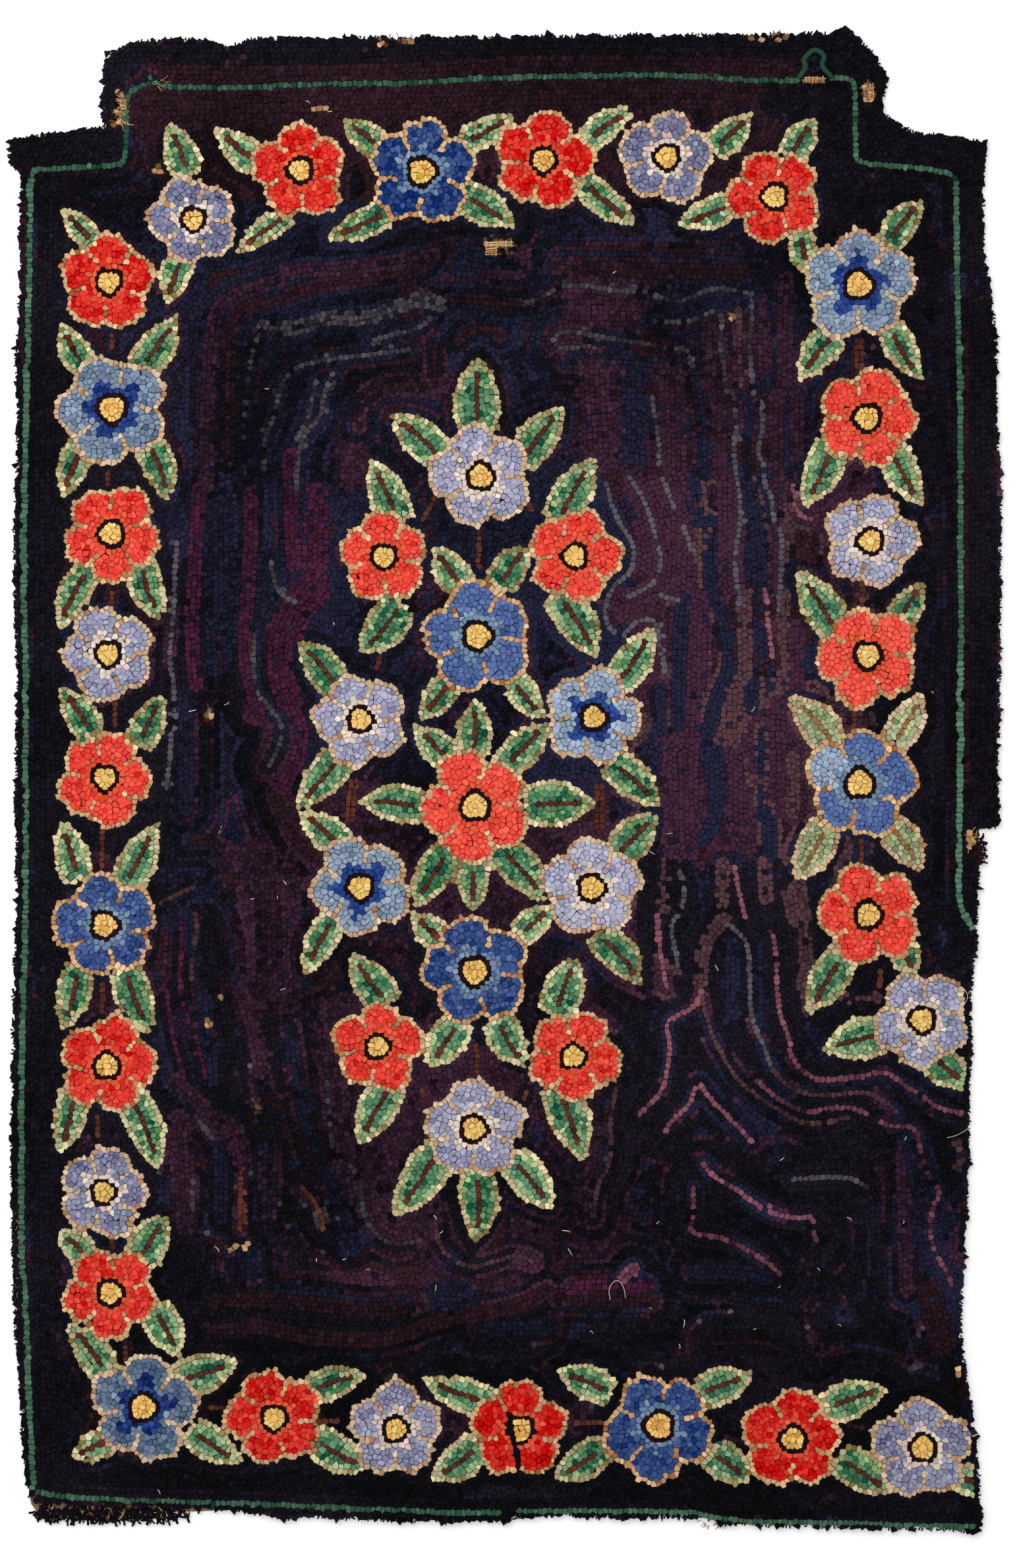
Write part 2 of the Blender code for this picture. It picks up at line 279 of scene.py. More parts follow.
# Specks of white lint: a place, a length and a direction in degrees
LINT = (
    (497, 170, 7, 20), (470, 157, 8, 80), (1183, 1762, 8, 40), (1285, 1848, 9, 10), (1370, 1857, 5, 0),
    (996, 1858, 6, 60), (1180, 1955, 6, 0), (662, 1852, 9, 60), (667, 1872, 6, 10), (853, 1868, 12, 20),
    (862, 1895, 12, 300), (325, 1892, 12, 0), (345, 1896, 8, 20), (430, 1337, 8, 320), (380, 1365, 6, 0),
    (420, 1365, 6, 40), (332, 1265, 12, 60), (286, 1080, 12, 10), (340, 1070, 9, 0), (425, 1503, 9, 20),
    (985, 1292, 10, 330), (1012, 1266, 9, 20), (1295, 938, 9, 350), (1300, 992, 5, 0), (1412, 1050, 6, 45),
    (1272, 2010, 5, 0), (1143, 2018, 5, 0), (1038, 2003, 12, 300), (1030, 2040, 8, 330), (660, 1960, 10, 60),
    (555, 1927, 6, 20), (520, 1912, 5, 0), (480, 1915, 5, 80), (243, 2268, 8, 80), (505, 945, 5, 0),
    (402, 590, 6, 0), (930, 415, 6, 60), (1085, 1465, 10, 310), (1140, 1080, 9, 20), (150, 1135, 6, 40),
    (1240, 1925, 6, 0), (1372, 1730, 6, 0), (985, 1985, 5, 0), (895, 2020, 7, 10), (755, 2310, 5, 0),
)
WHITE_THREADS = (
    ((926, 1973), (923, 1958), (930, 1945), (940, 1943), (947, 1955), (949, 1970)),
    ((1437, 1727), (1450, 1724), (1462, 1718), (1470, 1712)),
    ((1462, 1500), (1470, 1512), (1462, 1526)),
)

# The dark ground: where a mixture of cloths prevails, how far, and the share of each cloth there
GROUND_CLOTHS = ("black", "navy", "maroon", "plum", "magenta", "rosy", "grey", "pink")
Field = namedtuple("Field", "x_px y_px half_x_px half_y_px shares")
FIELDS = [Field(*row) for row in (
    (600, 200, 520, 70, (10, 4, 78, 8, 0, 0, 0, 0)),
    (600, 365, 560, 40, (20, 70, 6, 4, 0, 0, 0, 0)),
    (150, 290, 90, 50, (92, 4, 4, 0, 0, 0, 0, 0)),
    (1330, 300, 120, 120, (90, 8, 2, 0, 0, 0, 0, 0)),
    (1420, 800, 50, 500, (88, 8, 4, 0, 0, 0, 0, 0)),
    (80, 900, 40, 600, (82, 12, 6, 0, 0, 0, 0, 0)),
    (170, 1100, 60, 800, (30, 44, 18, 8, 0, 0, 0, 0)),
    (430, 580, 210, 150, (16, 64, 10, 10, 0, 0, 0, 0)),
    (970, 430, 200, 70, (4, 36, 22, 38, 0, 0, 0, 0)),
    (1060, 640, 130, 150, (6, 26, 18, 50, 0, 0, 0, 0)),
    (340, 1000, 130, 260, (24, 42, 8, 24, 2, 0, 0, 0)),
    (400, 1400, 150, 130, (12, 10, 22, 56, 0, 0, 0, 0)),
    (400, 1800, 160, 160, (30, 24, 22, 22, 0, 0, 2, 0)),
    (725, 900, 200, 260, (14, 70, 4, 12, 0, 0, 0, 0)),
    (640, 1000, 60, 60, (10, 20, 10, 60, 0, 0, 0, 0)),
    (725, 1650, 200, 300, (22, 6, 22, 50, 0, 0, 0, 0)),
    (1100, 950, 120, 260, (4, 20, 12, 52, 0, 12, 0, 0)),
    (1160, 1180, 90, 120, (2, 12, 6, 50, 0, 30, 0, 0)),
    (1000, 1450, 160, 120, (50, 30, 4, 12, 0, 4, 0, 0)),
    (1200, 1800, 260, 220, (82, 14, 0, 4, 0, 0, 0, 0)),
    (700, 2040, 640, 60, (76, 10, 8, 4, 0, 0, 2, 0)),
    (760, 2250, 700, 40, (94, 4, 2, 0, 0, 0, 0, 0)),
)]

# The bands of the ground that run on over many rows: cloth, half the band's width, then places along it
STRIPES = (
    # cloth, half_width_px, (x_px, y_px) of each place
    ("black", 17, (170, 75), (350, 78), (640, 72), (1060, 68), (1250, 66), (1290, 62)),
    ("maroon", 13, (250, 108), (400, 112), (640, 106), (760, 96), (1060, 96), (1196, 100)),
    ("black", 34, (1285, 80), (1322, 112), (1322, 190)),
    ("black", 22, (1325, 215), (1480, 238)),
    ("black", 16, (1488, 262), (1492, 640), (1492, 1250), (1470, 1420), (1462, 1700)),
    ("maroon", 4, (1467, 500), (1468, 1200)),
    ("black", 22, (40, 228), (100, 224), (160, 216)),
    ("black", 15, (172, 110), (168, 200)),
    ("black", 9, (30, 280), (24, 640), (24, 1000), (22, 1400), (18, 1800), (30, 2100), (40, 2240)),
    ("maroon", 4, (35, 300), (33, 640), (33, 800)),
    ("maroon", 26, (215, 165), (400, 160), (640, 152), (860, 146), (1100, 146)),
    ("black", 26, (1180, 150), (1262, 160), (1268, 260)),
    ("black", 18, (78, 290), (72, 600), (72, 1000), (74, 1400), (70, 1800), (74, 2180)),
    ("plum", 12, (660, 386), (600, 397), (500, 409), (455, 407), (400, 435), (345, 450), (318, 490), (312, 740)),
    ("maroon", 7, (650, 400), (600, 420), (480, 432), (430, 450), (350, 475), (345, 560), (345, 700)),
    ("grey", 10, (398, 497), (450, 499), (500, 480), (550, 485), (600, 467), (640, 449), (668, 463)),
    ("grey", 5, (394, 502), (378, 550), (369, 640), (372, 740)),
    ("grey", 4, (655, 480), (640, 497), (600, 506), (555, 520)),
    ("grey", 5, (625, 530), (550, 540), (500, 545), (430, 560), (415, 640), (403, 655), (400, 715)),
    ("grey", 5, (510, 555), (490, 600), (488, 635), (462, 655), (452, 690), (450, 745)),
    ("grey", 4, (480, 575), (466, 640), (450, 670)),
    ("maroon", 6, (545, 650), (547, 610), (570, 590), (600, 583), (650, 585)),
    ("maroon", 5, (660, 520), (660, 590)),
    ("maroon", 6, (690, 520), (705, 500), (730, 495), (760, 510)),
    ("maroon", 7, (680, 455), (780, 462)),
    ("plum", 24, (535, 690), (535, 720)),
    ("grey", 5, (795, 460), (830, 449), (850, 432), (900, 434), (945, 443), (985, 441), (1002, 453), (1030, 458),
     (1052, 450), (1075, 439), (1100, 437), (1145, 446)),
    ("grey", 5, (900, 525), (850, 530), (836, 516), (852, 502), (880, 504), (940, 516), (988, 522), (1010, 529),
     (1044, 527), (1047, 555)),
    ("grey", 4, (980, 486), (1020, 490), (1050, 486), (1075, 475), (1092, 470), (1097, 490), (1093, 520), (1097, 553),
     (1104, 598)),
    ("grey", 5, (1113, 600), (1119, 640), (1112, 690), (1120, 730), (1125, 790), (1112, 850), (1122, 900), (1120, 930)),
    ("grey", 4, (1140, 452), (1142, 490), (1136, 520), (1139, 560), (1144, 600)),
    ("grey", 4, (1156, 606), (1158, 650), (1148, 685), (1160, 708), (1158, 730), (1172, 756), (1172, 790), (1188, 810),
     (1186, 850), (1182, 930)),
    ("navy", 6, (840, 385), (1000, 385), (1150, 395)),
    ("maroon", 8, (840, 405), (1000, 412), (1130, 412)),
    ("plum", 18, (1020, 570), (1022, 710)),
    ("plum", 28, (905, 560), (912, 690)),
    ("navy", 16, (962, 560), (962, 670)),
    ("plum", 11, (1091, 600), (1092, 720)),
    ("navy", 6, (860, 541), (945, 541), (1008, 548)),
    ("plum", 12, (870, 474), (960, 476)),
    ("rosy", 6, (1121, 465), (1124, 590)),
    ("plum", 6, (1160, 450), (1162, 560)),
    ("navy", 6, (1174, 430), (1174, 510)),
    ("plum", 11, (1193, 420), (1190, 590)),
    ("plum", 8, (1178, 600), (1176, 900)),
    ("plum", 9, (1210, 600), (1208, 690)),
    ("plum", 9, (1077, 500), (1075, 590)),
    ("navy", 6, (1058, 500), (1060, 600), (1070, 640), (1070, 720)),
    ("navy", 8, (1050, 725), (1058, 790)),
    ("navy", 8, (1078, 790), (1078, 910)),
    ("navy", 8, (1135, 735), (1150, 790), (1153, 900)),
    ("plum", 18, (1108, 730), (1108, 900)),
    ("plum", 17, (1030, 730), (1030, 890)),
    ("navy", 6, (1194, 600), (1194, 720)),
    ("grey", 4, (988, 600), (993, 630), (1001, 670), (999, 712), (1013, 745), (1024, 775), (1038, 796), (1048, 840)),
    ("grey", 4, (953, 722), (968, 742), (984, 775), (990, 800), (1001, 830), (1003, 865), (990, 888), (950, 908)),
    ("grey", 4, (918, 730), (928, 765), (943, 800), (965, 830), (958, 870), (934, 885), (914, 925), (926, 958),
     (946, 964)),
    ("grey", 3, (998, 902), (1016, 909), (1034, 910)),
    ("pink", 4, (1205, 735), (1205, 765), (1215, 785), (1235, 788)),
    ("pink", 4, (1160, 890), (1168, 960), (1172, 1000)),
    ("magenta", 10, (302, 740), (296, 850), (290, 960), (297, 1040)),
    ("magenta", 9, (380, 745), (380, 850), (372, 960), (372, 1010), (390, 1075)),
    ("magenta", 11, (440, 690), (442, 800), (446, 860)),
    ("magenta", 15, (480, 750), (478, 860)),
    ("magenta", 24, (478, 890), (445, 930), (428, 965)),
    ("magenta", 16, (428, 965), (424, 1020), (440, 1070)),
    ("magenta", 9, (440, 1070), (460, 1110), (454, 1150), (432, 1190), (420, 1205)),
    ("maroon", 9, (420, 1205), (430, 1230), (442, 1260), (475, 1300)),
    ("navy", 22, (520, 890), (520, 960)),
    ("grey", 5, (410, 850), (420, 900), (450, 915)),
    ("grey", 5, (268, 820), (262, 960), (255, 1000), (265, 1040), (262, 1100), (252, 1200)),
    ("grey", 4, (385, 960), (384, 1050), (408, 1072), (426, 1095), (428, 1120), (415, 1150), (405, 1165)),
    ("navy", 11, (282, 1050), (282, 1230)),
    ("navy", 12, (480, 1080), (476, 1150)),
    ("navy", 9, (335, 760), (335, 930)),
    ("plum", 46, (405, 1330), (410, 1500)),
    ("navy", 8, (245, 1330), (305, 1326)),
    ("rosy", 4, (240, 1372), (270, 1357), (297, 1345)),
    ("rosy", 3, (296, 1382), (299, 1410), (293, 1450), (290, 1490)),
    ("black", 16, (322, 1385), (318, 1500)),
    ("navy", 6, (300, 1372), (322, 1364), (345, 1390), (352, 1440), (352, 1500)),
    ("magenta", 5, (274, 1395), (276, 1430), (270, 1500), (290, 1560), (305, 1600), (312, 1640)),
    ("magenta", 4, (252, 1500), (258, 1560), (272, 1610), (280, 1640)),
    ("navy", 9, (310, 1500), (320, 1640)),
    ("black", 14, (335, 1520), (350, 1600), (368, 1660)),
    ("plum", 12, (365, 1500), (385, 1560), (395, 1620)),
    ("black", 9, (408, 1520), (418, 1600), (430, 1650)),
    ("navy", 8, (440, 1560), (450, 1640), (465, 1700), (480, 1760), (510, 1800), (520, 1850), (535, 1890)),
    ("grey", 4, (495, 1640), (500, 1700), (505, 1760), (545, 1775), (550, 1840), (565, 1870), (590, 1885)),
    ("plum", 50, (530, 1560), (560, 1780), (620, 1840)),
    ("magenta", 6, (345, 1700), (360, 1740), (366, 1770)),
    ("stem", 5, (366, 1775), (363, 1870)),
    ("stem", 4, (455, 1800), (475, 1820), (490, 1850), (490, 1870)),
    ("plum", 10, (265, 1640), (320, 1690), (345, 1740)),
    ("plum", 16, (272, 1700), (280, 1860)),
    ("grey", 5, (300, 1700), (325, 1730)),
    ("grey", 4, (292, 1790), (292, 1840)),
    ("navy", 9, (335, 1740), (335, 1850)),
    ("navy", 6, (410, 1740), (408, 1850)),
    ("black", 30, (285, 1900), (280, 1980)),
    ("navy", 8, (385, 1900), (385, 1945)),
    ("maroon", 11, (325, 1975), (420, 1975), (500, 1982), (560, 1990), (612, 1985)),
    ("maroon", 10, (320, 2015), (400, 2012), (450, 2030), (550, 2036), (610, 2030), (660, 2005), (790, 1985), (830, 1960)),
    ("black", 8, (300, 1994), (420, 1996), (500, 2008), (600, 2010)),
    ("rosy", 3, (660, 1855), (665, 1890), (690, 1915), (720, 1925), (750, 1915), (780, 1905), (810, 1915)),
    ("rosy", 3, (600, 1890), (640, 1882)),
    ("navy", 20, (665, 1965), (710, 1965)),
    ("navy", 9, (725, 2020), (830, 2015)),
    ("plum", 27, (1032, 1140), (1035, 1280)),
    ("navy", 11, (1088, 1140), (1088, 1240), (1068, 1275)),
    ("plum", 26, (938, 922), (968, 920)),
    ("plum", 15, (1063, 910), (1060, 1040)),
    ("plum", 9, (1052, 1050), (1050, 1130)),
    ("navy", 7, (1092, 925), (1108, 965), (1108, 1020), (1088, 1055), (1074, 1115)),
    ("rosy", 12, (1129, 905), (1131, 1030)),
    ("navy", 7, (1155, 920), (1155, 1010)),
    ("rosy", 8, (1188, 900), (1190, 1030)),
    ("plum", 9, (1209, 950), (1210, 1045)),
    ("navy", 9, (1037, 900), (1030, 1000), (1030, 1100)),
    ("grey", 4, (948, 962), (960, 946), (985, 938), (1000, 950), (1006, 1000), (1010, 1022)),
    ("rosy", 13, (1116, 1045), (1114, 1125)),
    ("plum", 20, (1124, 1145), (1124, 1245)),
    ("navy", 6, (1140, 1030), (1140, 1075)),
    ("rosy", 7, (1133, 1150), (1135, 1190)),
    ("plum", 13, (1180, 1065), (1182, 1200)),
    ("rosy", 7, (1203, 1150), (1203, 1235)),
    ("navy", 6, (1155, 1105), (1154, 1235)),
    ("navy", 6, (1167, 1225), (1168, 1300)),
    ("black", 12, (980, 1310), (980, 1500)),
    ("rosy", 7, (1007, 1310), (1007, 1380)),
    ("pink", 4, (998, 1385), (1000, 1440), (1012, 1500)),
    ("grey", 4, (1030, 1320), (1040, 1350), (1035, 1385), (1015, 1402), (1025, 1440), (1028, 1470)),
    ("rosy", 9, (1098, 1310), (1095, 1370)),
    ("pink", 4, (1115, 1312), (1118, 1340), (1126, 1375), (1133, 1395)),
    ("rosy", 8, (1100, 1395), (1075, 1420), (1065, 1450), (1063, 1495)),
    ("rosy", 10, (1160, 1310), (1162, 1365)),
    ("rosy", 16, (1205, 1350), (1212, 1390)),
    ("rosy", 11, (1222, 1415), (1225, 1535)),
    ("rosy", 6, (1250, 1515), (1335, 1516)),
    ("navy", 6, (1153, 1430), (1156, 1560)),
    ("navy", 13, (1112, 1440), (1112, 1540)),
    ("grey", 4, (1100, 1400), (1125, 1418), (1137, 1440), (1137, 1500), (1140, 1550), (1160, 1590), (1170, 1620)),
    ("rosy", 4, (1170, 1620), (1200, 1655), (1250, 1665), (1310, 1655), (1340, 1670), (1365, 1690)),
    ("pink", 4, (1165, 1410), (1178, 1430), (1180, 1540), (1200, 1575), (1198, 1600), (1215, 1625), (1240, 1640),
     (1300, 1635), (1345, 1625), (1370, 1645), (1400, 1665), (1430, 1685), (1465, 1690)),
    ("pink", 4, (1065, 1500), (1055, 1530), (1018, 1545), (1010, 1555), (1018, 1590), (1010, 1640), (1000, 1665),
     (975, 1685), (970, 1695)),
    ("rosy", 4, (1065, 1510), (1075, 1560), (1100, 1610), (1120, 1640), (1150, 1665), (1190, 1690), (1215, 1705),
     (1250, 1705), (1290, 1695)),
    ("pink", 4, (1150, 1640), (1175, 1665), (1200, 1680), (1230, 1690), (1260, 1680), (1300, 1683), (1330, 1700),
     (1355, 1712), (1390, 1710), (1395, 1740), (1410, 1790), (1430, 1808), (1412, 1840), (1410, 1880), (1425, 1910),
     (1447, 1955)),
    ("pink", 4, (1008, 1720), (1020, 1700), (1045, 1680), (1055, 1650), (1060, 1640), (1070, 1660), (1100, 1690),
     (1125, 1715), (1142, 1735)),
    ("pink", 4, (1065, 1765), (1080, 1785), (1110, 1800), (1150, 1830), (1180, 1845), (1210, 1850), (1235, 1845),
     (1235, 1870), (1240, 1885)),
    ("pink", 4, (1052, 1800), (1052, 1850), (1045, 1872), (1075, 1875), (1100, 1880), (1140, 1900), (1175, 1925),
     (1190, 1945)),
    ("rosy", 5, (935, 1650), (925, 1700), (930, 1760), (905, 1800), (900, 1850)),
    ("plum", 7, (900, 1690), (905, 1770), (885, 1800), (890, 1850)),
    ("navy", 12, (1230, 1560), (1260, 1600)),
    ("navy", 6, (1215, 1650), (1300, 1646), (1345, 1642)),
    ("navy", 9, (1370, 1720), (1385, 1800)),
    ("plum", 12, (1370, 1750), (1375, 1960)),
    ("maroon", 18, (1410, 1960), (1430, 2040)),
    ("rosy", 7, (1455, 1730), (1455, 1770)),
    ("grey", 4, (1200, 1790), (1290, 1785), (1310, 1800)),
    ("navy", 9, (1050, 1930), (1120, 1930), (1165, 1942)),
    ("pink", 8, (944, 1948), (962, 1926)),
    ("magenta", 8, (868, 1955), (985, 1952)),
    ("maroon", 9, (860, 1972), (990, 1974)),
    ("maroon", 4, (1080, 2040), (1150, 2035), (1195, 2052)),
)

# The cloths: the deepest and the lightest tone of each, as sRGB from 0 to 255
CLOTHS = {
    "red": ((218, 34, 26), (255, 94, 77)),
    "periwinkle": ((126, 128, 159), (186, 184, 208)),
    "royal": ((42, 67, 126), (96, 119, 173)),
    "steel": ((99, 119, 145), (160, 177, 199)),
    "red_ring": ((214, 66, 44), (242, 104, 70)),
    "periwinkle_ring": ((208, 186, 172), (244, 228, 214)),
    "royal_ring": ((88, 116, 152), (140, 160, 184)),
    "steel_ring": ((22, 42, 106), (50, 80, 154)),
    "yellow": ((226, 170, 84), (252, 214, 130)),
    "eye": ((16, 7, 13), (40, 14, 24)),
    "edge": ((178, 128, 85), (231, 192, 146)),
    "edge_pale": ((184, 146, 112), (228, 202, 168)),
    "edge_leaf": ((155, 140, 96), (225, 212, 166)),
    "leaf_dark": ((46, 101, 73), (105, 155, 114)),
    "leaf_light": ((85, 134, 90), (168, 194, 142)),
    "leaf_pale": ((132, 148, 106), (186, 196, 150)),
    "vein": ((68, 30, 22), (108, 54, 40)),
    "vein_pale": ((124, 84, 52), (164, 122, 84)),
    "stem": ((66, 30, 26), (104, 56, 46)),
    "border": ((34, 70, 54), (80, 118, 94)),
    "worn": ((122, 84, 54), (214, 172, 128)),
    "bare": ((176, 130, 82), (238, 206, 156)),
    "crack": ((8, 7, 12), (16, 12, 20)),
    "black": ((6, 4, 12), (22, 17, 29)),
    "navy": ((12, 13, 29), (30, 30, 54)),
    "maroon": ((27, 10, 18), (48, 23, 34)),
    "plum": ((29, 13, 27), (61, 33, 52)),
    "magenta": ((34, 12, 29), (72, 27, 55)),
    "rosy": ((38, 24, 32), (80, 53, 61)),
    "grey": ((36, 32, 40), (84, 78, 86)),
    "pink": ((56, 28, 42), (128, 78, 92)),
    "lint": ((196, 190, 182), (238, 236, 230)),
}


def property_group(name, about, properties):
    """A property group whose properties come from a table."""
    return type(name, (bpy.types.PropertyGroup,), {"__doc__": about, "__annotations__": properties})


def length_property(name, about, default):
    """A length in metres that a user may change."""
    return bpy.props.FloatProperty(name=name, description=about, default=default, precision=4, unit="LENGTH")


def linear(colour):
    """A colour from 0 to 255 in sRGB as linear numbers from 0 to 1."""
    parts = [part / 255.0 for part in colour]
    return tuple(p / 12.92 if p <= 0.04045 else ((p + 0.055) / 1.055) ** 2.4 for p in parts)


HookedRugSizes = property_group("HookedRugSizes", "The sizes of the loops and rows.", {
    "row_width": length_property("Row width", "From the middle of one row to the next", 0.0046),
    "loop_step": length_property("Loop step", "From one loop to the next along a row", 0.0051),
    "edge_step": length_property("Edge step", "From one loop to the next along an outline", 0.0045),
    "loop_relief": length_property("Loop relief", "Height of a loop over the cleft beside it", 0.0016),
    "height_waver": length_property("Uneven height", "How much the loops differ in height", 0.0004),
    "bed_inset": length_property("Bed inset", "How far the bed of the loops stands in from their rim", 0.0026),
    "weave_pitch": length_property("Weave pitch", "From thread to thread of the hessian", 0.0019),
})

HookedRugCloths = property_group("HookedRugCloths", "The tones of the cloth strips.", {
    f"{cloth}_{tone}": bpy.props.FloatVectorProperty(
        name=f"{cloth} {tone}".replace("_", " ").capitalize(),
        description=f"The {tone} tone of the {cloth.replace('_', ' ')} cloth",
        default=linear(tones[k]), min=0.0, max=1.0, subtype="COLOR",
    )
    for cloth, tones in CLOTHS.items() for k, tone in enumerate(("deep", "light"))
})

HookedRugStage = property_group("HookedRugStage", "The camera, light and floor.", {
    "camera_height": length_property("Camera height", "Height of the camera over the rug", 4.0),
    "lamp_power": bpy.props.FloatProperty(
        name="Lamp power", description="Power of the overhead lamp", default=62.0, unit="POWER"),
    "side_power": bpy.props.FloatProperty(
        name="Side power", description="Power of the lamp at the side", default=26.0, unit="POWER"),
    "sky_strength": bpy.props.FloatProperty(
        name="Sky strength", description="Strength of the even light from all round", default=0.42),
})


# Places and lines on the floor

def on_floor(x_px, y_px):
    """A place on the photo as a place on the floor."""
    return np.array(((x_px - MIDDLE_X_PX) * PX, (MIDDLE_Y_PX - y_px) * PX))


def welded_copy(node_name):
    """A copy of a CAD node's mesh with its doubled corners merged."""
    mesh = bmesh.new()
    mesh.from_mesh(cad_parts[node_name].data)
    bmesh.ops.remove_doubles(mesh, verts=mesh.verts, dist=1e-6)
    mesh.normal_update()
    return mesh


def outlines_of(node_name):
    """The closed outlines of a slab, the longest first, as arrays of places."""
    mesh = welded_copy(node_name)
    following = {}
    for edge in mesh.edges:
        under = [face for face in edge.link_faces if face.normal.z < -0.9]
        if len(under) == 1 and len(edge.link_faces) == 2:
            for corner in under[0].loops:
                if corner.edge == edge:
                    following[corner.vert.index] = corner.link_loop_next.vert.index
    places = {vertex.index: (vertex.co.x, vertex.co.y) for vertex in mesh.verts}
    mesh.free()
    outlines = []
    while following:
        start, at = following.popitem()
        line = [places[start]]
        while at != start:
            line.append(places[at])
            at = following.pop(at)
        outlines.append(np.array(line))
    return sorted(outlines, key=len, reverse=True)


def inset(line, depth):
    """A closed line moved to its left by a depth, which is inwards on an anticlockwise one."""
    along = np.roll(line, -1, axis=0) - np.roll(line, 1, axis=0)
    along /= np.hypot(along[:, 0], along[:, 1])[:, None]
    return line + depth * np.column_stack((-along[:, 1], along[:, 0]))


def anticlockwise(line):
    """A closed line turned so that it runs anticlockwise."""
    following = np.roll(line, -1, axis=0)
    area = np.sum(line[:, 0] * following[:, 1] - line[:, 1] * following[:, 0])
    return line if area > 0 else line[::-1]


def walk(line, step, closed=False):
    """Places at even steps along a line, with the direction of the line at each."""
    line = np.vstack((line, line[:1])) if closed else line
    lengths = np.hypot(*np.diff(line, axis=0).T)
    reach = np.concatenate(((0.0,), np.cumsum(lengths)))
    count = max(1, round(reach[-1] / step))
    at = (np.arange(count) + 0.5) * reach[-1] / count

    def place(distance):
        if closed and reach[-1] > 0.0:
            distance = distance % reach[-1]
        return np.column_stack([np.interp(distance, reach, line[:, k]) for k in (0, 1)])

    ahead = place(at + 0.4 * step) - place(at - 0.4 * step)
    return place(at), np.arctan2(ahead[:, 1], ahead[:, 0])


def rounded(line, rounds=2):
    """An open line with its corners cut off."""
    for _ in range(rounds):
        early = 0.75 * line[:-1] + 0.25 * line[1:]
        late = 0.25 * line[:-1] + 0.75 * line[1:]
        line = np.vstack((line[:1], np.stack((early, late), axis=1).reshape(-1, line.shape[1]), line[-1:]))
    return line


# The flowers and leaves as outlines

PETALS = 5
PETAL_TURN = 2.0 * math.pi / PETALS
PETAL_MIDDLE = 0.535
PETAL_RADIUS = 0.485
OUTLINE_STEPS = 180


class Bloom:
    """One flower: its middle, its outline as a reach in each direction, and its petals."""

    def __init__(self, number, flower):
        chance = np.random.default_rng(100 + number)
        self.kind = flower.kind
        self.light = flower.light
        self.middle = on_floor(flower.x_px, flower.y_px)
        self.reach = flower.reach_px * PX
        swings = chance.uniform(-0.07, 0.07, PETALS)
        self.axes = math.radians(flower.petal_degrees) + PETAL_TURN * np.arange(PETALS) + swings
        grown = 1.0 + chance.uniform(-0.06, 0.04, PETALS)
        self.angles = np.linspace(-math.pi, math.pi, OUTLINE_STEPS + 1)
        self.reaches = np.zeros(OUTLINE_STEPS + 1)
        edge_inset = 3.4 * PX
        for axis, growth in zip(self.axes, grown):
            offset = np.angle(np.exp(1j * (self.angles - axis)))
            middle = PETAL_MIDDLE * (self.reach - edge_inset) * growth
            radius = PETAL_RADIUS * (self.reach - edge_inset) * growth
            under_root = radius**2 - (middle * np.sin(offset)) ** 2
            reach = middle * np.cos(offset) + np.sqrt(np.maximum(under_root, 0.0))
            reach[(under_root < 0.0) | (np.cos(offset) < 0.0)] = 0.0
            self.reaches = np.maximum(self.reaches, reach)
        waver = sum(
            share * np.cos(turns * self.angles + chance.uniform(0.0, 6.3))
            for turns, share in ((7, 0.016), (11, 0.020), (16, 0.018))
        )
        self.reaches *= 1.0 + waver
        # The petals' lightness holds painted light from the rug's lighting as well as the cloth's own tone
        self.petal_lights = flower.light + chance.uniform(-0.10, 0.10, PETALS)
        self.bulge_turn = chance.uniform(0.0, 2.0 * math.pi)
        self.petal_kinds = [flower.kind] * PETALS
        if number == ODD_FLOWER:
            self.petal_kinds[ODD_PETAL] = ODD_PETAL_KIND

    def polar(self, places):
        """The distance from the middle and the direction of each place."""
        offset = places - self.middle
        return np.hypot(offset[:, 0], offset[:, 1]), np.arctan2(offset[:, 1], offset[:, 0])

    def depth(self, places):
        """How far each place lies inside the outline, along the line to the middle."""
        distance, direction = self.polar(places)
        return np.interp(direction, self.angles, self.reaches) - distance

    def outline(self):
        """The outline as a closed line."""
        directions = self.angles[:-1]
        return self.middle + self.reaches[:-1, None] * np.column_stack((np.cos(directions), np.sin(directions)))

    def bulge(self, direction):
        """The share by which the rings round the eye bulge out in a direction."""
        return 0.07 * np.cos(3.0 * direction + self.bulge_turn) + 0.05 * np.cos(5.0 * direction - self.bulge_turn)

    def ring(self, share, steps=48):
        """An uneven ring round the middle at a share of the reach."""
        turns = np.linspace(0.0, 2.0 * math.pi, steps, endpoint=False)
        reach = share * self.reach * (1.0 + self.bulge(turns))
        return self.middle + reach[:, None] * np.column_stack((np.cos(turns), np.sin(turns)))

    def ray(self, direction, start, end):
        """A straight line out from the middle, between two distances."""
        heading = np.array((math.cos(direction), math.sin(direction)))
        return np.array([self.middle + heading * start, self.middle + heading * end])

    def partings(self):
        """The rows between the petals, from each notch in towards the ring."""
        order = np.sort(np.mod(self.axes, 2.0 * math.pi))
        following = np.append(order[1:], order[0] + 2.0 * math.pi)
        for direction in (order + following) / 2.0:
            notch = np.interp(np.angle(np.exp(1j * direction)), self.angles, self.reaches)
            yield self.ray(direction, 0.47 * self.reach, notch - 5.0 * PX)


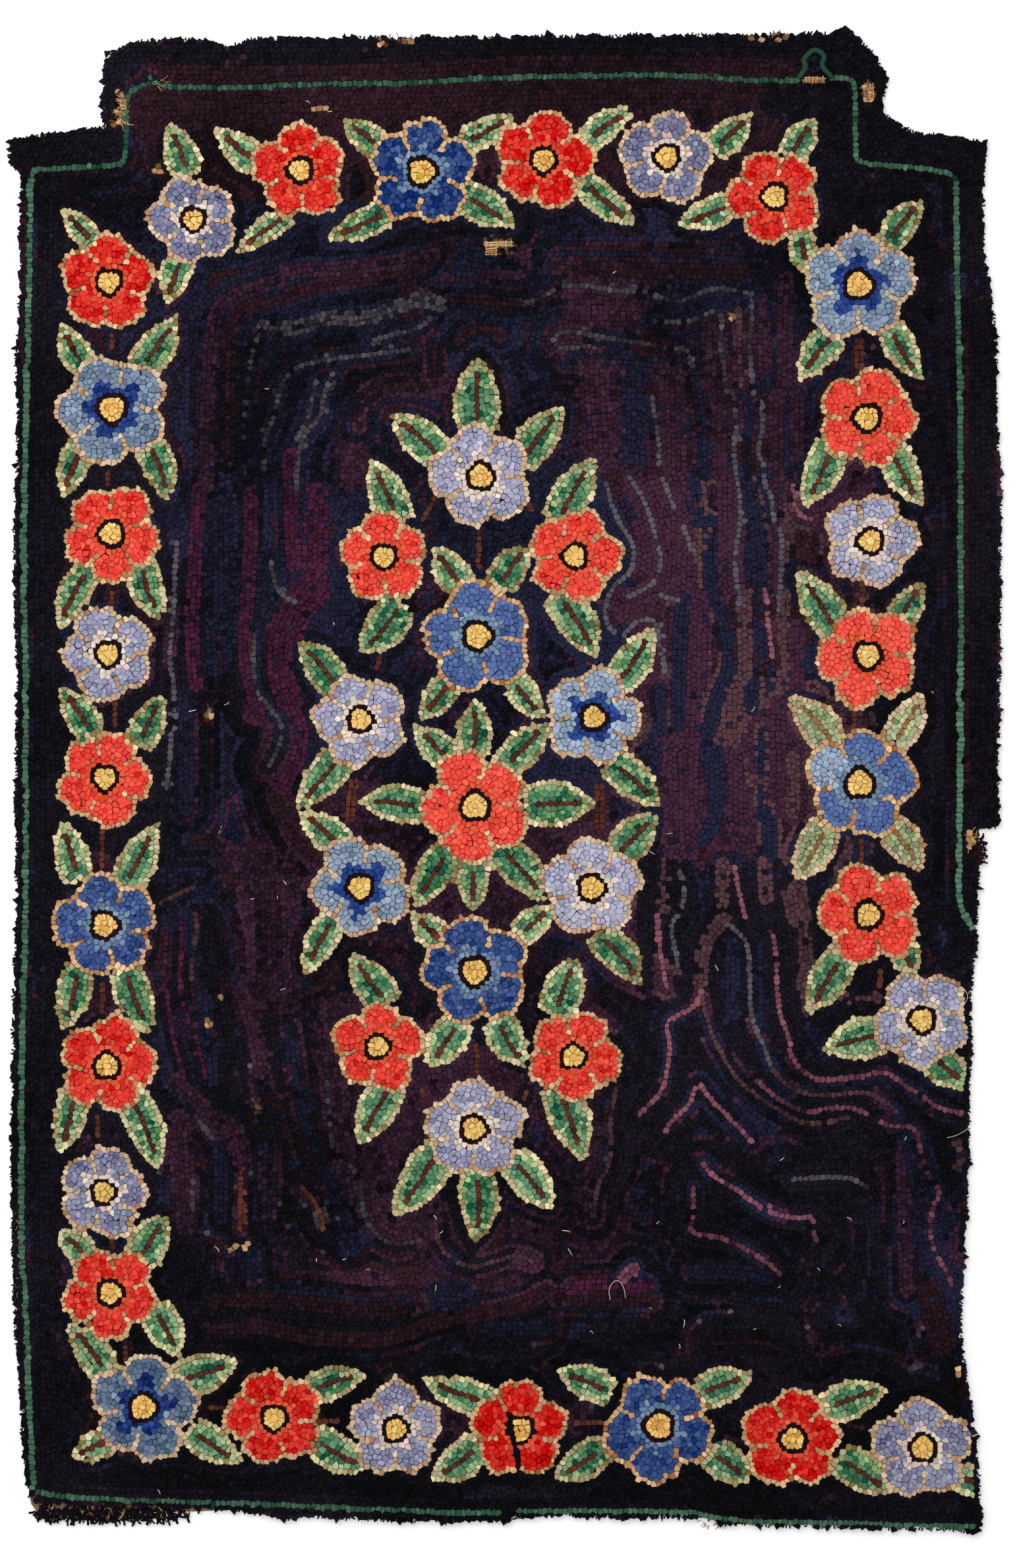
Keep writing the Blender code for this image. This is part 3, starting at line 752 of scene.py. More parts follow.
class Blade:
    """One leaf: its axis from base to tip and its half width along the way."""

    def __init__(self, number, leaf):
        chance = np.random.default_rng(500 + number)
        self.pale = bool(leaf.pale)
        self.tip = on_floor(leaf.tip_x_px, leaf.tip_y_px)
        self.base = on_floor(leaf.base_x_px, leaf.base_y_px)
        axis = self.tip - self.base
        self.length = math.hypot(*axis)
        self.along = axis / self.length
        self.across = np.array((-self.along[1], self.along[0]))
        self.half_width = (leaf.width_px / 2.0 - 3.5) * PX
        self.length -= 3.5 * PX
        self.bend = chance.uniform(-0.05, 0.05)
        self.light_side = chance.choice((-1.0, 1.0))
        self.light_share = chance.uniform(0.2, 0.75)
        self.light = chance.uniform(0.25, 0.75)

    def sway(self, share):
        """How far the leaf's middle line bends aside at a share of the length."""
        return self.bend * self.length * np.sin(math.pi * np.clip(share, 0.0, 1.0))

    def half(self, share):
        """The half width at a share of the length."""
        turn = 0.30 + 0.70 * np.clip(share, 0.0, 1.0) ** 1.2
        return self.half_width * np.maximum(np.sin(math.pi * turn), 0.0) ** 0.94

    def middle(self, share):
        """Places on the leaf's middle line."""
        share = np.asarray(share, dtype=float)
        offset = np.outer(share * self.length, self.along) + np.outer(self.sway(share), self.across)
        return self.base + offset

    def local(self, places):
        """The share of the length and the distance aside of each place."""
        offset = places - self.base
        share = offset @ self.along / self.length
        return share, offset @ self.across - self.sway(share)

    def depth(self, places):
        """How far each place lies inside the outline, across the leaf."""
        share, aside = self.local(places)
        depth = self.half(share) - np.abs(aside)
        depth[(share < 0.0) | (share > 1.0)] = -1.0
        return depth

    def outline(self):
        """The outline as a closed line round from the base."""
        shares = 1.0 - np.linspace(1.0, 0.0, 26) ** 1.6
        middle = self.middle(shares)
        half = self.half(shares)[:, None] * self.across
        return np.vstack((middle - half, (middle + half)[::-1]))


@functools.lru_cache(maxsize=None)
def blooms():
    return [Bloom(number, flower) for number, flower in enumerate(FLOWERS)]


@functools.lru_cache(maxsize=None)
def blades():
    return [Blade(number, leaf) for number, leaf in enumerate(LEAVES)]


def deepest(shapes, places):
    """The greatest depth of each place in any of the shapes, below zero outside them all."""
    depths = np.full(len(places), -1.0)
    for shape in shapes:
        depths = np.maximum(depths, shape.depth(places))
    return depths


# The rows of loops

Row = namedtuple("Row", "line closed cloth light step along across ragged")
RAGGED_EDGE = 1.6 * PX
RAGGED_ROW = 0.45 * PX
HALF_LOOP = 4.4 * PX
HALF_ROW = 3.9 * PX
HALF_TOOTH = 3.5 * PX
FLOWER_EDGE = 2.6 * PX
RED_FLOWER_EDGE = 2.1 * PX
LEAF_EDGE = 3.8 * PX
PARTING = 2.6 * PX
NET_STEP = 0.0015
CROWDED = 0.80
CROWDED_FILL = 0.68
GAP_REACH = 6.4 * PX


def flower_rows(bloom, sizes):
    """The rows that a flower starts with: its eye, rings, petals' tips of the ring, outline and partings."""
    ring = bloom.kind + "_ring"
    edge = "edge_pale" if bloom.kind in ("periwinkle", "steel") else "edge"
    step = sizes.loop_step

    def row(line, closed, cloth, light, along=HALF_LOOP, across=HALF_ROW, apart=step, ragged=RAGGED_ROW):
        return Row(line, closed, cloth, light, apart, along, across, ragged)

    yield row(bloom.ring(0.004), True, "yellow", 0.55, apart=1.0)
    yield row(bloom.ring(0.17), True, "yellow", 0.6, along=3.0 * PX, across=3.2 * PX, apart=6.4 * PX)
    edge_width = FLOWER_EDGE if bloom.kind != "red" else RED_FLOWER_EDGE
    yield row(bloom.outline(), True, edge, 0.5, HALF_TOOTH, edge_width, sizes.edge_step, RAGGED_EDGE)
    yield row(bloom.ring(0.262), True, "eye", 0.4, across=2.0 * PX)
    yield row(bloom.ring(0.335), True, ring, 0.5, across=3.4 * PX, ragged=1.2 * PX)
    for axis in bloom.axes:
        yield row(bloom.ray(axis, 0.42 * bloom.reach, 0.52 * bloom.reach), False, ring, 0.6)
    for line in bloom.partings():
        if math.hypot(*(line[1] - line[0])) > 0.4 * step:
            yield row(line, False, edge, 0.45, HALF_TOOTH, PARTING, sizes.edge_step, RAGGED_EDGE)


def leaf_rows(blade, sizes):
    """The rows that a leaf starts with: its toothed outline and its vein."""
    edge = "edge_pale" if blade.pale else "edge_leaf"
    yield Row(blade.outline(), True, edge, blade.light, sizes.edge_step, HALF_TOOTH, LEAF_EDGE, RAGGED_EDGE)
    vein = "vein_pale" if blade.pale else "vein"
    line = blade.middle(np.linspace(0.12, 0.82, 6))
    yield Row(line, False, vein, 0.5, sizes.loop_step, HALF_LOOP, 2.8 * PX, RAGGED_ROW)


def free_stretches(line, closed, covered):
    """The stretches of a line whose places aren't covered."""
    if not covered.any():
        return [(line, closed)]
    if covered.all():
        return []
    if closed:
        first = int(np.argmax(covered))
        line, covered = np.roll(line, -first, axis=0), np.roll(covered, -first)
    stretches = []
    start = None
    for k, hidden in enumerate(list(covered) + [True]):
        if not hidden and start is None:
            start = k
        if hidden and start is not None:
            if k - start > 1:
                stretches.append((line[start:k], False))
            start = None
    return stretches


def finely(line, closed, step):
    """A line with places at a fine even step."""
    places, _ = walk(line, step, closed)
    return places


def clipped(row, shapes, margin):
    """A row without the stretches that lie inside shapes worked before it."""
    line = finely(row.line, row.closed, 0.0008)
    covered = deepest(shapes, line) > -margin if shapes else np.zeros(len(line), bool)
    for stretch, closed in free_stretches(line, row.closed, covered):
        yield row._replace(line=stretch, closed=closed)


def line_rows(sizes):
    """The border line, the stems and the other single rows."""
    for cloth, *places in LINES:
        line = np.array([on_floor(*place) for place in places])
        across = 6.5 * PX if cloth == "crack" else HALF_ROW
        yield Row(rounded(line), False, cloth, 0.5, sizes.loop_step, HALF_LOOP, across, RAGGED_ROW)


def border_rows():
    """The border line in its stretches."""
    for width_px, light, *places in BORDER_LINES:
        line = rounded(np.array([on_floor(*place) for place in places]))
        yield Row(line, False, "border", light, 7.6 * PX, 3.8 * PX, width_px / 2.0 * PX, 0.8 * PX)


def stripe_lines():
    """The middle line of each band of the ground, with its cloth and half its width."""
    for cloth, half_width_px, *places in STRIPES:
        yield rounded(np.array([on_floor(*place) for place in places])), cloth, half_width_px * PX


def first_rows(sizes):
    """Every row that is laid out by hand, in the order in which the rows are worked."""
    yield from border_rows()
    rim, *_ = outlines_of("hooked_pile")
    rim = inset(finely(anticlockwise(rim), True, 0.002), HALF_ROW + 0.1 * PX)
    yield Row(rim, True, "ground", 0.5, sizes.loop_step, HALF_LOOP, HALF_ROW, RAGGED_EDGE)
    lines = list(line_rows(sizes))
    yield from (row for row in lines if row.cloth == "crack")
    worked = []
    for bloom in blooms():
        for row in flower_rows(bloom, sizes):
            yield from clipped(row, worked, 5.0 * PX)
        worked.append(bloom)
    for blade in blades():
        for row in leaf_rows(blade, sizes):
            yield from clipped(row, worked, 5.0 * PX)
        worked.append(blade)
    for row in lines:
        if row.cloth != "crack":
            yield from clipped(row, worked, 6.0 * PX)
    for line, _, _ in stripe_lines():
        row = Row(line, False, "ground", 0.5, sizes.loop_step, HALF_LOOP, HALF_ROW, RAGGED_ROW)
        yield from clipped(row, worked, 16.0 * PX)


class Loops:
    """The loops as they are worked, each with the room that it takes up."""

    CELL = 12.0 * PX

    def __init__(self):
        self.cells = {}
        self.rows = []

    def is_free(self, x, y, room, crowded):
        """Whether a loop of a given room fits at a place."""
        column = math.floor(x / self.CELL)
        row = math.floor(y / self.CELL)
        for c in (column - 1, column, column + 1):
            for r in (row - 1, row, row + 1):
                for other_x, other_y, cosine, sine, along, across in self.cells.get((c, r), ()):
                    dx = x - other_x
                    dy = y - other_y
                    u = (dx * cosine + dy * sine) / (along + room)
                    v = (dy * cosine - dx * sine) / (across + room)
                    if u * u + v * v < crowded * crowded:
                        return False
        return True

    def add(self, x, y, angle, along, across, cloth, light, level, crowded):
        """Works one loop if it fits."""
        if not self.is_free(x, y, min(along, across), crowded):
            return
        cell = (math.floor(x / self.CELL), math.floor(y / self.CELL))
        self.cells.setdefault(cell, []).append((x, y, math.cos(angle), math.sin(angle), along, across))
        self.rows.append((x, y, angle, along, across, light, level, cloth))


def inside_net(outlines, xs, ys):
    """Which points of a net lie inside the outer outline and outside the holes."""
    inside = np.zeros((len(ys), len(xs)), bool)
    starts = np.vstack(outlines)
    ends = np.vstack([np.roll(outline, -1, axis=0) for outline in outlines])
    for k, y in enumerate(ys):
        hit = (starts[:, 1] > y) != (ends[:, 1] > y)
        start, end = starts[hit], ends[hit]
        crossings = start[:, 0] + (y - start[:, 1]) * (end[:, 0] - start[:, 0]) / (end[:, 1] - start[:, 1])
        inside[k] = np.searchsorted(np.sort(crossings), xs) % 2 == 1
    return inside


def distance_net(rows, xs, ys, inside):
    """How many rows each point of the net lies from the nearest row laid out by hand."""
    places, halves = [], []
    for row in rows:
        fine = finely(row.line, row.closed, 0.0010)
        places.append(fine)
        halves.append(np.full(len(fine), row.across))
    places = np.vstack(places)
    halves = np.concatenate(halves)
    tree = kdtree.KDTree(len(places))
    for k, (x, y) in enumerate(places):
        tree.insert((x, y, 0.0), k)
    tree.balance()
    net = np.zeros(inside.shape)
    for r, c in zip(*np.nonzero(inside)):
        _, nearest, distance = tree.find((xs[c], ys[r], 0.0))
        net[r, c] = distance - halves[nearest]
    return net


def level_lines(net, level):
    """The lines along which a net has one level, as columns and rows of the net."""
    above = net > level
    mixed = above[:-1, :-1].astype(int) + above[1:, :-1] + above[:-1, 1:] + above[1:, 1:]
    width = net.shape[1]
    upright = net.size
    joins = {}
    for r, c in zip(*np.nonzero((mixed > 0) & (mixed < 4))):
        low_left, low_right = above[r, c], above[r, c + 1]
        high_left, high_right = above[r + 1, c], above[r + 1, c + 1]
        crossed = []
        if low_left != low_right:
            crossed.append(r * width + c)
        if low_right != high_right:
            crossed.append(upright + r * width + c + 1)
        if high_left != high_right:
            crossed.append((r + 1) * width + c)
        if low_left != high_left:
            crossed.append(upright + r * width + c)
        for k in range(0, len(crossed), 2):
            joins.setdefault(crossed[k], []).append(crossed[k + 1])
            joins.setdefault(crossed[k + 1], []).append(crossed[k])
    lines = []
    while joins:
        start = next((key for key, ends in joins.items() if len(ends) == 1), None) if not lines else None
        start = next(iter(joins)) if start is None else start
        chain = [start]
        at = start
        while True:
            ends = joins.get(at)
            if not ends:
                joins.pop(at, None)
                break
            following = ends.pop()
            if not ends:
                joins.pop(at, None)
            back = joins.get(following)
            if back and at in back:
                back.remove(at)
            chain.append(following)
            at = following
            if at == start:
                break
        lines.append(crossing_places(net, level, np.array(chain), width, upright))
    return lines


def crossing_places(net, level, chain, width, upright):
    """Where the crossed sides of the net's cells have the level."""
    is_upright = chain >= upright
    index = np.where(is_upright, chain - upright, chain)
    r, c = index // width, index % width
    next_r, next_c = r + is_upright, c + ~is_upright
    low, high = net[r, c], net[next_r, next_c]
    share = np.clip((level - low) / np.where(high == low, 1.0, high - low), 0.0, 1.0)
    return np.column_stack((c + share * (next_c - c), r + share * (next_r - r)))


def echo_rows(loops, net, xs, ys, row_width, step):
    """Works row after row beside the rows laid out by hand, each at its own level."""
    chance = np.random.default_rng(31)
    deepest_level = int(net.max() / row_width) + 1
    for level in range(deepest_level + 1):
        distance = (level + 0.5) * row_width
        for cells in level_lines(net, distance):
            line = np.column_stack((xs[0] + cells[:, 0] * NET_STEP, ys[0] + cells[:, 1] * NET_STEP))
            length = float(np.sum(np.hypot(*np.diff(line, axis=0).T)))
            if length < 0.5 * step:
                continue
            places, angles = walk(line, step * chance.uniform(0.97, 1.05))
            places = places + chance.normal(scale=0.7 * PX, size=places.shape)
            for (x, y), angle in zip(places, angles):
                loops.add(x, y, angle, HALF_LOOP, HALF_ROW, "", 0.5, level, CROWDED)


def fill_gaps(loops, net, xs, ys, inside, row_width):
    """Works single loops into the gaps that the rows leave."""
    tree = kdtree.KDTree(len(loops.rows))
    for k, row in enumerate(loops.rows):
        tree.insert((row[0], row[1], 0.0), k)
    tree.balance()
    gaps = []
    slope_y, slope_x = np.gradient(net)
    for r, c in zip(*np.nonzero(inside)):
        _, _, distance = tree.find((xs[c], ys[r], 0.0))
        if distance > GAP_REACH:
            gaps.append((distance, r, c))
    for _, r, c in sorted(gaps, reverse=True):
        angle = math.atan2(slope_x[r, c], -slope_y[r, c])
        level = net[r, c] / row_width
        loops.add(xs[c], ys[r], angle, HALF_LOOP * 0.95, HALF_ROW * 0.95, "", 0.5, level, CROWDED_FILL)


SPOKE_TURN = 0.42
SPOKE_REACH = {"red": 0.08, "periwinkle": 0.14, "royal": 0.12, "steel": 0.20}


def by_place(places):
    """The cloth and lightness of loops inside the flowers and leaves, and no cloth on the ground."""
    count = len(places)
    cloth = np.full(count, "ground", dtype="<U16")
    light = np.full(count, 0.5)
    chance = np.random.default_rng(57)
    for blade in reversed(blades()):
        _, aside = blade.local(places)
        depth = blade.depth(places)
        within = depth > 0.0
        toss = chance.uniform(size=count)
        beside_edge = (depth < 11.5 * PX) & (toss < 0.80)
        second_row = (aside * blade.light_side > 0.0) & (depth < 18.0 * PX) & (toss < blade.light_share)
        cloth[within] = "leaf_pale" if blade.pale else "leaf_dark"
        cloth[within & (beside_edge | second_row)] = "leaf_pale" if blade.pale else "leaf_light"
        light[within] = blade.light
    for bloom in blooms():
        distance, direction = bloom.polar(places)
        within = bloom.depth(places) > 0.0
        share = distance / bloom.reach / (1.0 + bloom.bulge(direction))
        turns = np.array([np.abs(np.angle(np.exp(1j * (direction - axis)))) for axis in bloom.axes])
        nearest = np.argmin(turns, axis=0)
        for petal, kind in enumerate(bloom.petal_kinds):
            of_petal = within & (nearest == petal)
            cloth[of_petal] = kind
            light[of_petal] = bloom.petal_lights[petal]
        spoke = np.clip(1.0 - turns.min(axis=0) / SPOKE_TURN, 0.0, 1.0)
        ring_limit = 0.395 + SPOKE_REACH[bloom.kind] * spoke + chance.normal(scale=0.02, size=count)
        for limit, ring in ((ring_limit, bloom.kind + "_ring"), (0.297, "eye"), (0.222, "yellow")):
            cloth[within & (share < limit)] = ring
    return cloth, light


def field_cloths(places, levels):
    """The cloth and lightness of each loop by its field. A strip runs on along its row, then another begins."""
    offset = np.array([on_floor(field.x_px, field.y_px) for field in FIELDS])
    half = np.array([(field.half_x_px * PX, field.half_y_px * PX) for field in FIELDS])
    shares = np.array([field.shares for field in FIELDS], dtype=float)
    away = (places[:, None, :] - offset) / half
    weight = np.exp(-np.minimum(np.sum(away**4, axis=2), 40.0)) + 1e-6 / (1.0 + np.sum(away**2, axis=2))
    mixed = weight @ shares
    mixed /= mixed.sum(axis=1)[:, None]
    steps = np.cumsum(mixed, axis=1)
    cloths = []
    lights = []
    size = 250.0 * PX
    for (x, y), level, step in zip(places, levels, steps):
        band = math.floor(level + 0.25)
        wander = noise.noise(Vector((x / size, y / size, 0.43 * band + 7.1)))
        share = (0.9 * wander + 0.381966 * (band // 2)) % 1.0
        cloths.append(GROUND_CLOTHS[min(int(np.searchsorted(step, share)), len(GROUND_CLOTHS) - 1)])
        lights.append(0.42 + 1.3 * noise.noise(Vector((x / size * 1.5, y / size * 1.5, 1.7 * (band // 2)))))
    return np.array(cloths, dtype="<U16"), np.array(lights)


def ground_tone_shift(places):
    """How much lighter the ground is at places, where the light and wear have faded it."""
    lighter = np.zeros(len(places))
    for x_px, y_px, half_x_px, half_y_px, amount in GROUND_TONE_SHIFTS:
        away = (places - on_floor(x_px, y_px)) / (np.array((half_x_px, half_y_px)) * PX)
        lighter += amount * np.exp(-np.sum(away**2, axis=1)**2)
    return lighter


def ground_cloths(places, levels):
    """The cloth and lightness of each loop of the dark ground: those of the band it lies in, or of its field."""
    cloths, lights = field_cloths(places, levels)
    chance = np.random.default_rng(43)
    stray = chance.normal(scale=1.0 * PX, size=len(places))
    nearest = np.ones(len(places))
    tone_shift = ground_tone_shift(places)
    for line, cloth, half in stripe_lines():
        fine = finely(line, False, 0.002)
        reach = half + 3.0 * PX
        in_box = np.all((places > fine.min(axis=0) - reach) & (places < fine.max(axis=0) + reach), axis=1)
        near = np.nonzero(in_box)[0]
        tone = 0.45 + chance.uniform(-0.15, 0.15)
        if not len(near):
            continue
        away = places[near][:, None, :] - fine[None, :, :]
        share = (np.sqrt(np.min(np.sum(away**2, axis=2), axis=1)) + stray[near]) / (1.15 * half)
        within = (share < nearest[near]) & (chance.uniform(size=len(near)) > 0.05)
        nearest[near[within]] = share[within]
        cloths[near[within]] = cloth
        lights[near[within]] = tone + 0.5 * (lights[near[within]] - 0.42)
    return cloths, lights + tone_shift


Worked = namedtuple("Worked", "places light cloth")


@functools.lru_cache(maxsize=None)
def worked_loops():
    """Every loop of the rug, with its cloth and tone."""
    sizes = bpy.context.scene.hooked_rug_sizes
    outlines = [anticlockwise(line) for line in outlines_of("hooked_pile")]
    low, high = outlines[0].min(axis=0), outlines[0].max(axis=0)
    xs = np.arange(low[0] - 2 * NET_STEP, high[0] + 3 * NET_STEP, NET_STEP)
    ys = np.arange(low[1] - 2 * NET_STEP, high[1] + 3 * NET_STEP, NET_STEP)
    inside = inside_net(outlines, xs, ys)
    rows = list(first_rows(sizes))
    loops = Loops()
    chance = np.random.default_rng(13)
    for row in rows:
        places, angles = walk(row.line, row.step, row.closed)
        sideways = np.column_stack((-np.sin(angles), np.cos(angles)))
        places = places + sideways * row.ragged * np.clip(chance.normal(size=(len(places), 1)), -1.8, 1.8)
        for (x, y), angle in zip(places, angles):
            column, line = round((x - xs[0]) / NET_STEP), round((y - ys[0]) / NET_STEP)
            if 0 <= line < len(ys) and 0 <= column < len(xs) and inside[line, column]:
                loops.add(x, y, angle, row.along, row.across, row.cloth, row.light, 0, CROWDED)
    net = distance_net(rows, xs, ys, inside)
    echo_rows(loops, net, xs, ys, sizes.row_width, sizes.loop_step)
    fill_gaps(loops, net, xs, ys, inside, sizes.row_width)
    numbers = np.array([row[:7] for row in loops.rows])
    cloth = np.array([row[7] for row in loops.rows], dtype="<U16")
    places = numbers[:, :2]
    light = numbers[:, 5]
    open_cloth = cloth == ""
    cloth[open_cloth], light[open_cloth] = by_place(places[open_cloth])
    for spot in WORN:
        middle = on_floor(spot.x_px, spot.y_px)
        away = (places - middle) / (np.array((spot.reach_x_px, spot.reach_y_px)) * PX)
        cloth[(np.sum(away**2, axis=1) < 1.0) & (cloth == "ground")] = spot.cloth
    ground = cloth == "ground"
    cloth[ground], light[ground] = ground_cloths(places[ground], numbers[ground, 6])
    return Worked(places, light, cloth)


# The loops as meshes

Cells = namedtuple("Cells", "corners first count at_edge")
FARTHEST_CORNER = 8.8 * PX
SHORT_SIDE = 1.2 * PX
CORNER_STRAY = 0.55 * PX


def ghost_places(outlines, step):
    """Places just outside the rim and inside the holes, which end the room of the loops beside them."""
    chance = np.random.default_rng(77)
    ghosts = []
    for number, outline in enumerate(outlines):
        outward = -HALF_ROW if number == 0 else HALF_ROW * 0.6
        line = inset(finely(outline, True, 0.002), outward)
        places, _ = walk(line, step, True)
        ghosts.append(places + chance.normal(scale=2.2 * PX, size=places.shape))
        if number:
            ghosts.append(outline.mean(axis=0)[None, :])
    return np.vstack(ghosts)


@functools.lru_cache(maxsize=None)
def loop_cells():
    """The patch of the rug that each loop fills: the places nearer to it than to any other loop."""
    places = worked_loops().places
    outlines = [anticlockwise(line) for line in outlines_of("hooked_pile")]
    ghosts = ghost_places(outlines, bpy.context.scene.hooked_rug_sizes.loop_step)
    points = [Vector(place) for place in np.vstack((places, ghosts))]
    found, _, faces, origins, _, _ = delaunay_2d_cdt(points, [], [], 0, 1e-9)
    origin = np.array([start[0] for start in origins])
    flat = np.array([tuple(point) for point in found])
    triangles = np.array(faces)
    a, b, c = (flat[triangles[:, k]] for k in range(3))
    b, c = b - a, c - a
    twice = 2.0 * (b[:, 0] * c[:, 1] - b[:, 1] * c[:, 0])
    b_square, c_square = np.sum(b * b, axis=1), np.sum(c * c, axis=1)
    centres = a + np.column_stack((
        (c[:, 1] * b_square - b[:, 1] * c_square) / twice,
        (b[:, 0] * c_square - c[:, 0] * b_square) / twice,
    ))
    centres += np.random.default_rng(79).normal(scale=CORNER_STRAY, size=centres.shape)
    owner = origin[triangles].ravel()
    corner = np.repeat(centres, 3, axis=0)
    beside_ghost = np.repeat(np.any(origin[triangles] >= len(places), axis=1), 3)
    of_loop = owner < len(places)
    owner, corner, beside_ghost = owner[of_loop], corner[of_loop], beside_ghost[of_loop]
    at_edge = np.zeros(len(places), bool)
    at_edge[owner[beside_ghost]] = True
    offset = corner - places[owner]
    distance = np.hypot(offset[:, 0], offset[:, 1])
    offset *= np.minimum(1.0, FARTHEST_CORNER / np.maximum(distance, 1e-9))[:, None]
    order = np.lexsort((np.arctan2(offset[:, 1], offset[:, 0]), owner))
    owner, corner = owner[order], (places[owner] + offset)[order]
    count = np.bincount(owner, minlength=len(places))
    first = np.concatenate(((0,), np.cumsum(count)[:-1]))
    before = np.arange(len(owner)) - 1
    before[first[count > 0]] = (first + count - 1)[count > 0]
    side = np.hypot(*(corner - corner[before]).T)
    short = side < SHORT_SIDE
    dropped = short & ~short[before] & (count[owner] > 4)
    owner, corner = owner[~dropped], corner[~dropped]
    count = np.bincount(owner, minlength=len(places))
    first = np.concatenate(((0,), np.cumsum(count)[:-1]))
    return Cells(corner, first, count, at_edge)


def loop_faces(sides, skirts):
    """The triangles of a loop with a number of sides: its flanks and top, and its skirts if it has them."""
    turn = np.arange(sides)
    following = (turn + 1) % sides
    rings = [(0, sides)] if not skirts else [(0, sides), (2 * sides, 0)]
    faces = []
    for low, high in rings:
        faces.append(np.column_stack((low + turn, low + following, high + following)))
        faces.append(np.column_stack((low + turn, high + following, high + turn)))
    fan = np.arange(1, sides - 1)
    faces.append(sides + np.column_stack((np.zeros_like(fan), fan, fan + 1)))
    return np.vstack(faces)


def cloth_colours(cloth, light):
    """The linear colour of each loop."""
    settings = bpy.context.scene.hooked_rug_cloths
    colours = np.zeros((len(cloth), 3))
    for name in CLOTHS:
        of_cloth = cloth == name
        deep = np.array(getattr(settings, name + "_deep"))
        pale = np.array(getattr(settings, name + "_light"))
        share = np.clip(light[of_cloth], -0.25, 1.35)[:, None]
        colours[of_cloth] = deep + (pale - deep) * share
    return np.clip(colours, 0.0005, 1.0)


@functools.lru_cache(maxsize=None)
def pile_surface():
    """The CAD pile as a tree that gives the height of its surface at a place."""
    mesh = welded_copy("hooked_pile")
    tree = BVHTree.FromBMesh(mesh)
    mesh.free()
    return tree


def surface_height(x, y, default):
    """The height of the CAD pile's surface at a place."""
    hit, _, _, _ = pile_surface().ray_cast(Vector((x, y, 1.0)), Vector((0.0, 0.0, -1.0)))
    return hit.z if hit is not None and hit.z > 0.5 * default else default


def joined_mesh(name, points, triangles, colours, smooth=True):
    """A mesh object from arrays of points, triangles and a colour for each point."""
    mesh = bpy.data.meshes.new(name)
    mesh.vertices.add(len(points))
    mesh.vertices.foreach_set("co", points.astype(np.float32).ravel())
    mesh.loops.add(triangles.size)
    mesh.loops.foreach_set("vertex_index", triangles.astype(np.int32).ravel())
    mesh.polygons.add(len(triangles))
    mesh.polygons.foreach_set("loop_start", np.arange(0, triangles.size, 3, dtype=np.int32))
    mesh.polygons.foreach_set("use_smooth", np.full(len(triangles), smooth))
    attribute = mesh.color_attributes.new("strip_colour", "FLOAT_COLOR", "POINT")
    attribute.data.foreach_set("color", np.column_stack((colours, np.ones(len(colours)))).astype(np.float32).ravel())
    mesh.update(calc_edges=True)
    piece = bpy.data.objects.new(name, mesh)
    bpy.context.scene.collection.objects.link(piece)
    return piece


def add_top_map(piece):
    """Gives a piece a map that looks straight down on it."""
    mesh = piece.data
    count = len(mesh.loops)
    corners = np.empty(count, dtype=np.int32)
    mesh.loops.foreach_get("vertex_index", corners)
    points = np.empty(len(mesh.vertices) * 3, dtype=np.float32)
    mesh.vertices.foreach_get("co", points)
    flat = points.reshape(-1, 3)[:, :2]
    low, high = flat.min(axis=0), flat.max(axis=0)
    layer = mesh.uv_layers.new(name="OFBake")
    layer.data.foreach_set("uv", ((flat - low) / (high - low))[corners].astype(np.float32).ravel())


TOP_SHARE = 0.93
# How much a loop's rim ring is darkened in the clefts: painted shade
CLEFT_PAINTED_SHADE = 0.50
CRUMPLE = 0.00022
CLEFT_SIZE = 0.0052
LOW_CLOTHS = ("eye", "crack")
MIXED_CLOTHS = ("edge", "edge_leaf", "edge_pale", "leaf_dark", "leaf_light", "leaf_pale", "worn")
LOW_CLOTH_DROP = 0.0007


def cloth_waver(cloth):
    """How much the tone differs from loop to loop of a cloth."""
    waver = np.where(np.isin(cloth, GROUND_CLOTHS), 0.26, 0.22)
    return np.where(np.isin(cloth, MIXED_CLOTHS), 0.38, waver)


def cleft_depth(places):
    """How deep the clefts are at places, as a share: the same for all the loops that meet there."""
    x, y = places[..., 0] / CLEFT_SIZE, places[..., 1] / CLEFT_SIZE
    return 0.60 + 0.40 * np.sin(2.9 * x + 1.7 * np.sin(2.3 * y)) * np.sin(3.1 * y + 1.3 * np.sin(2.7 * x))


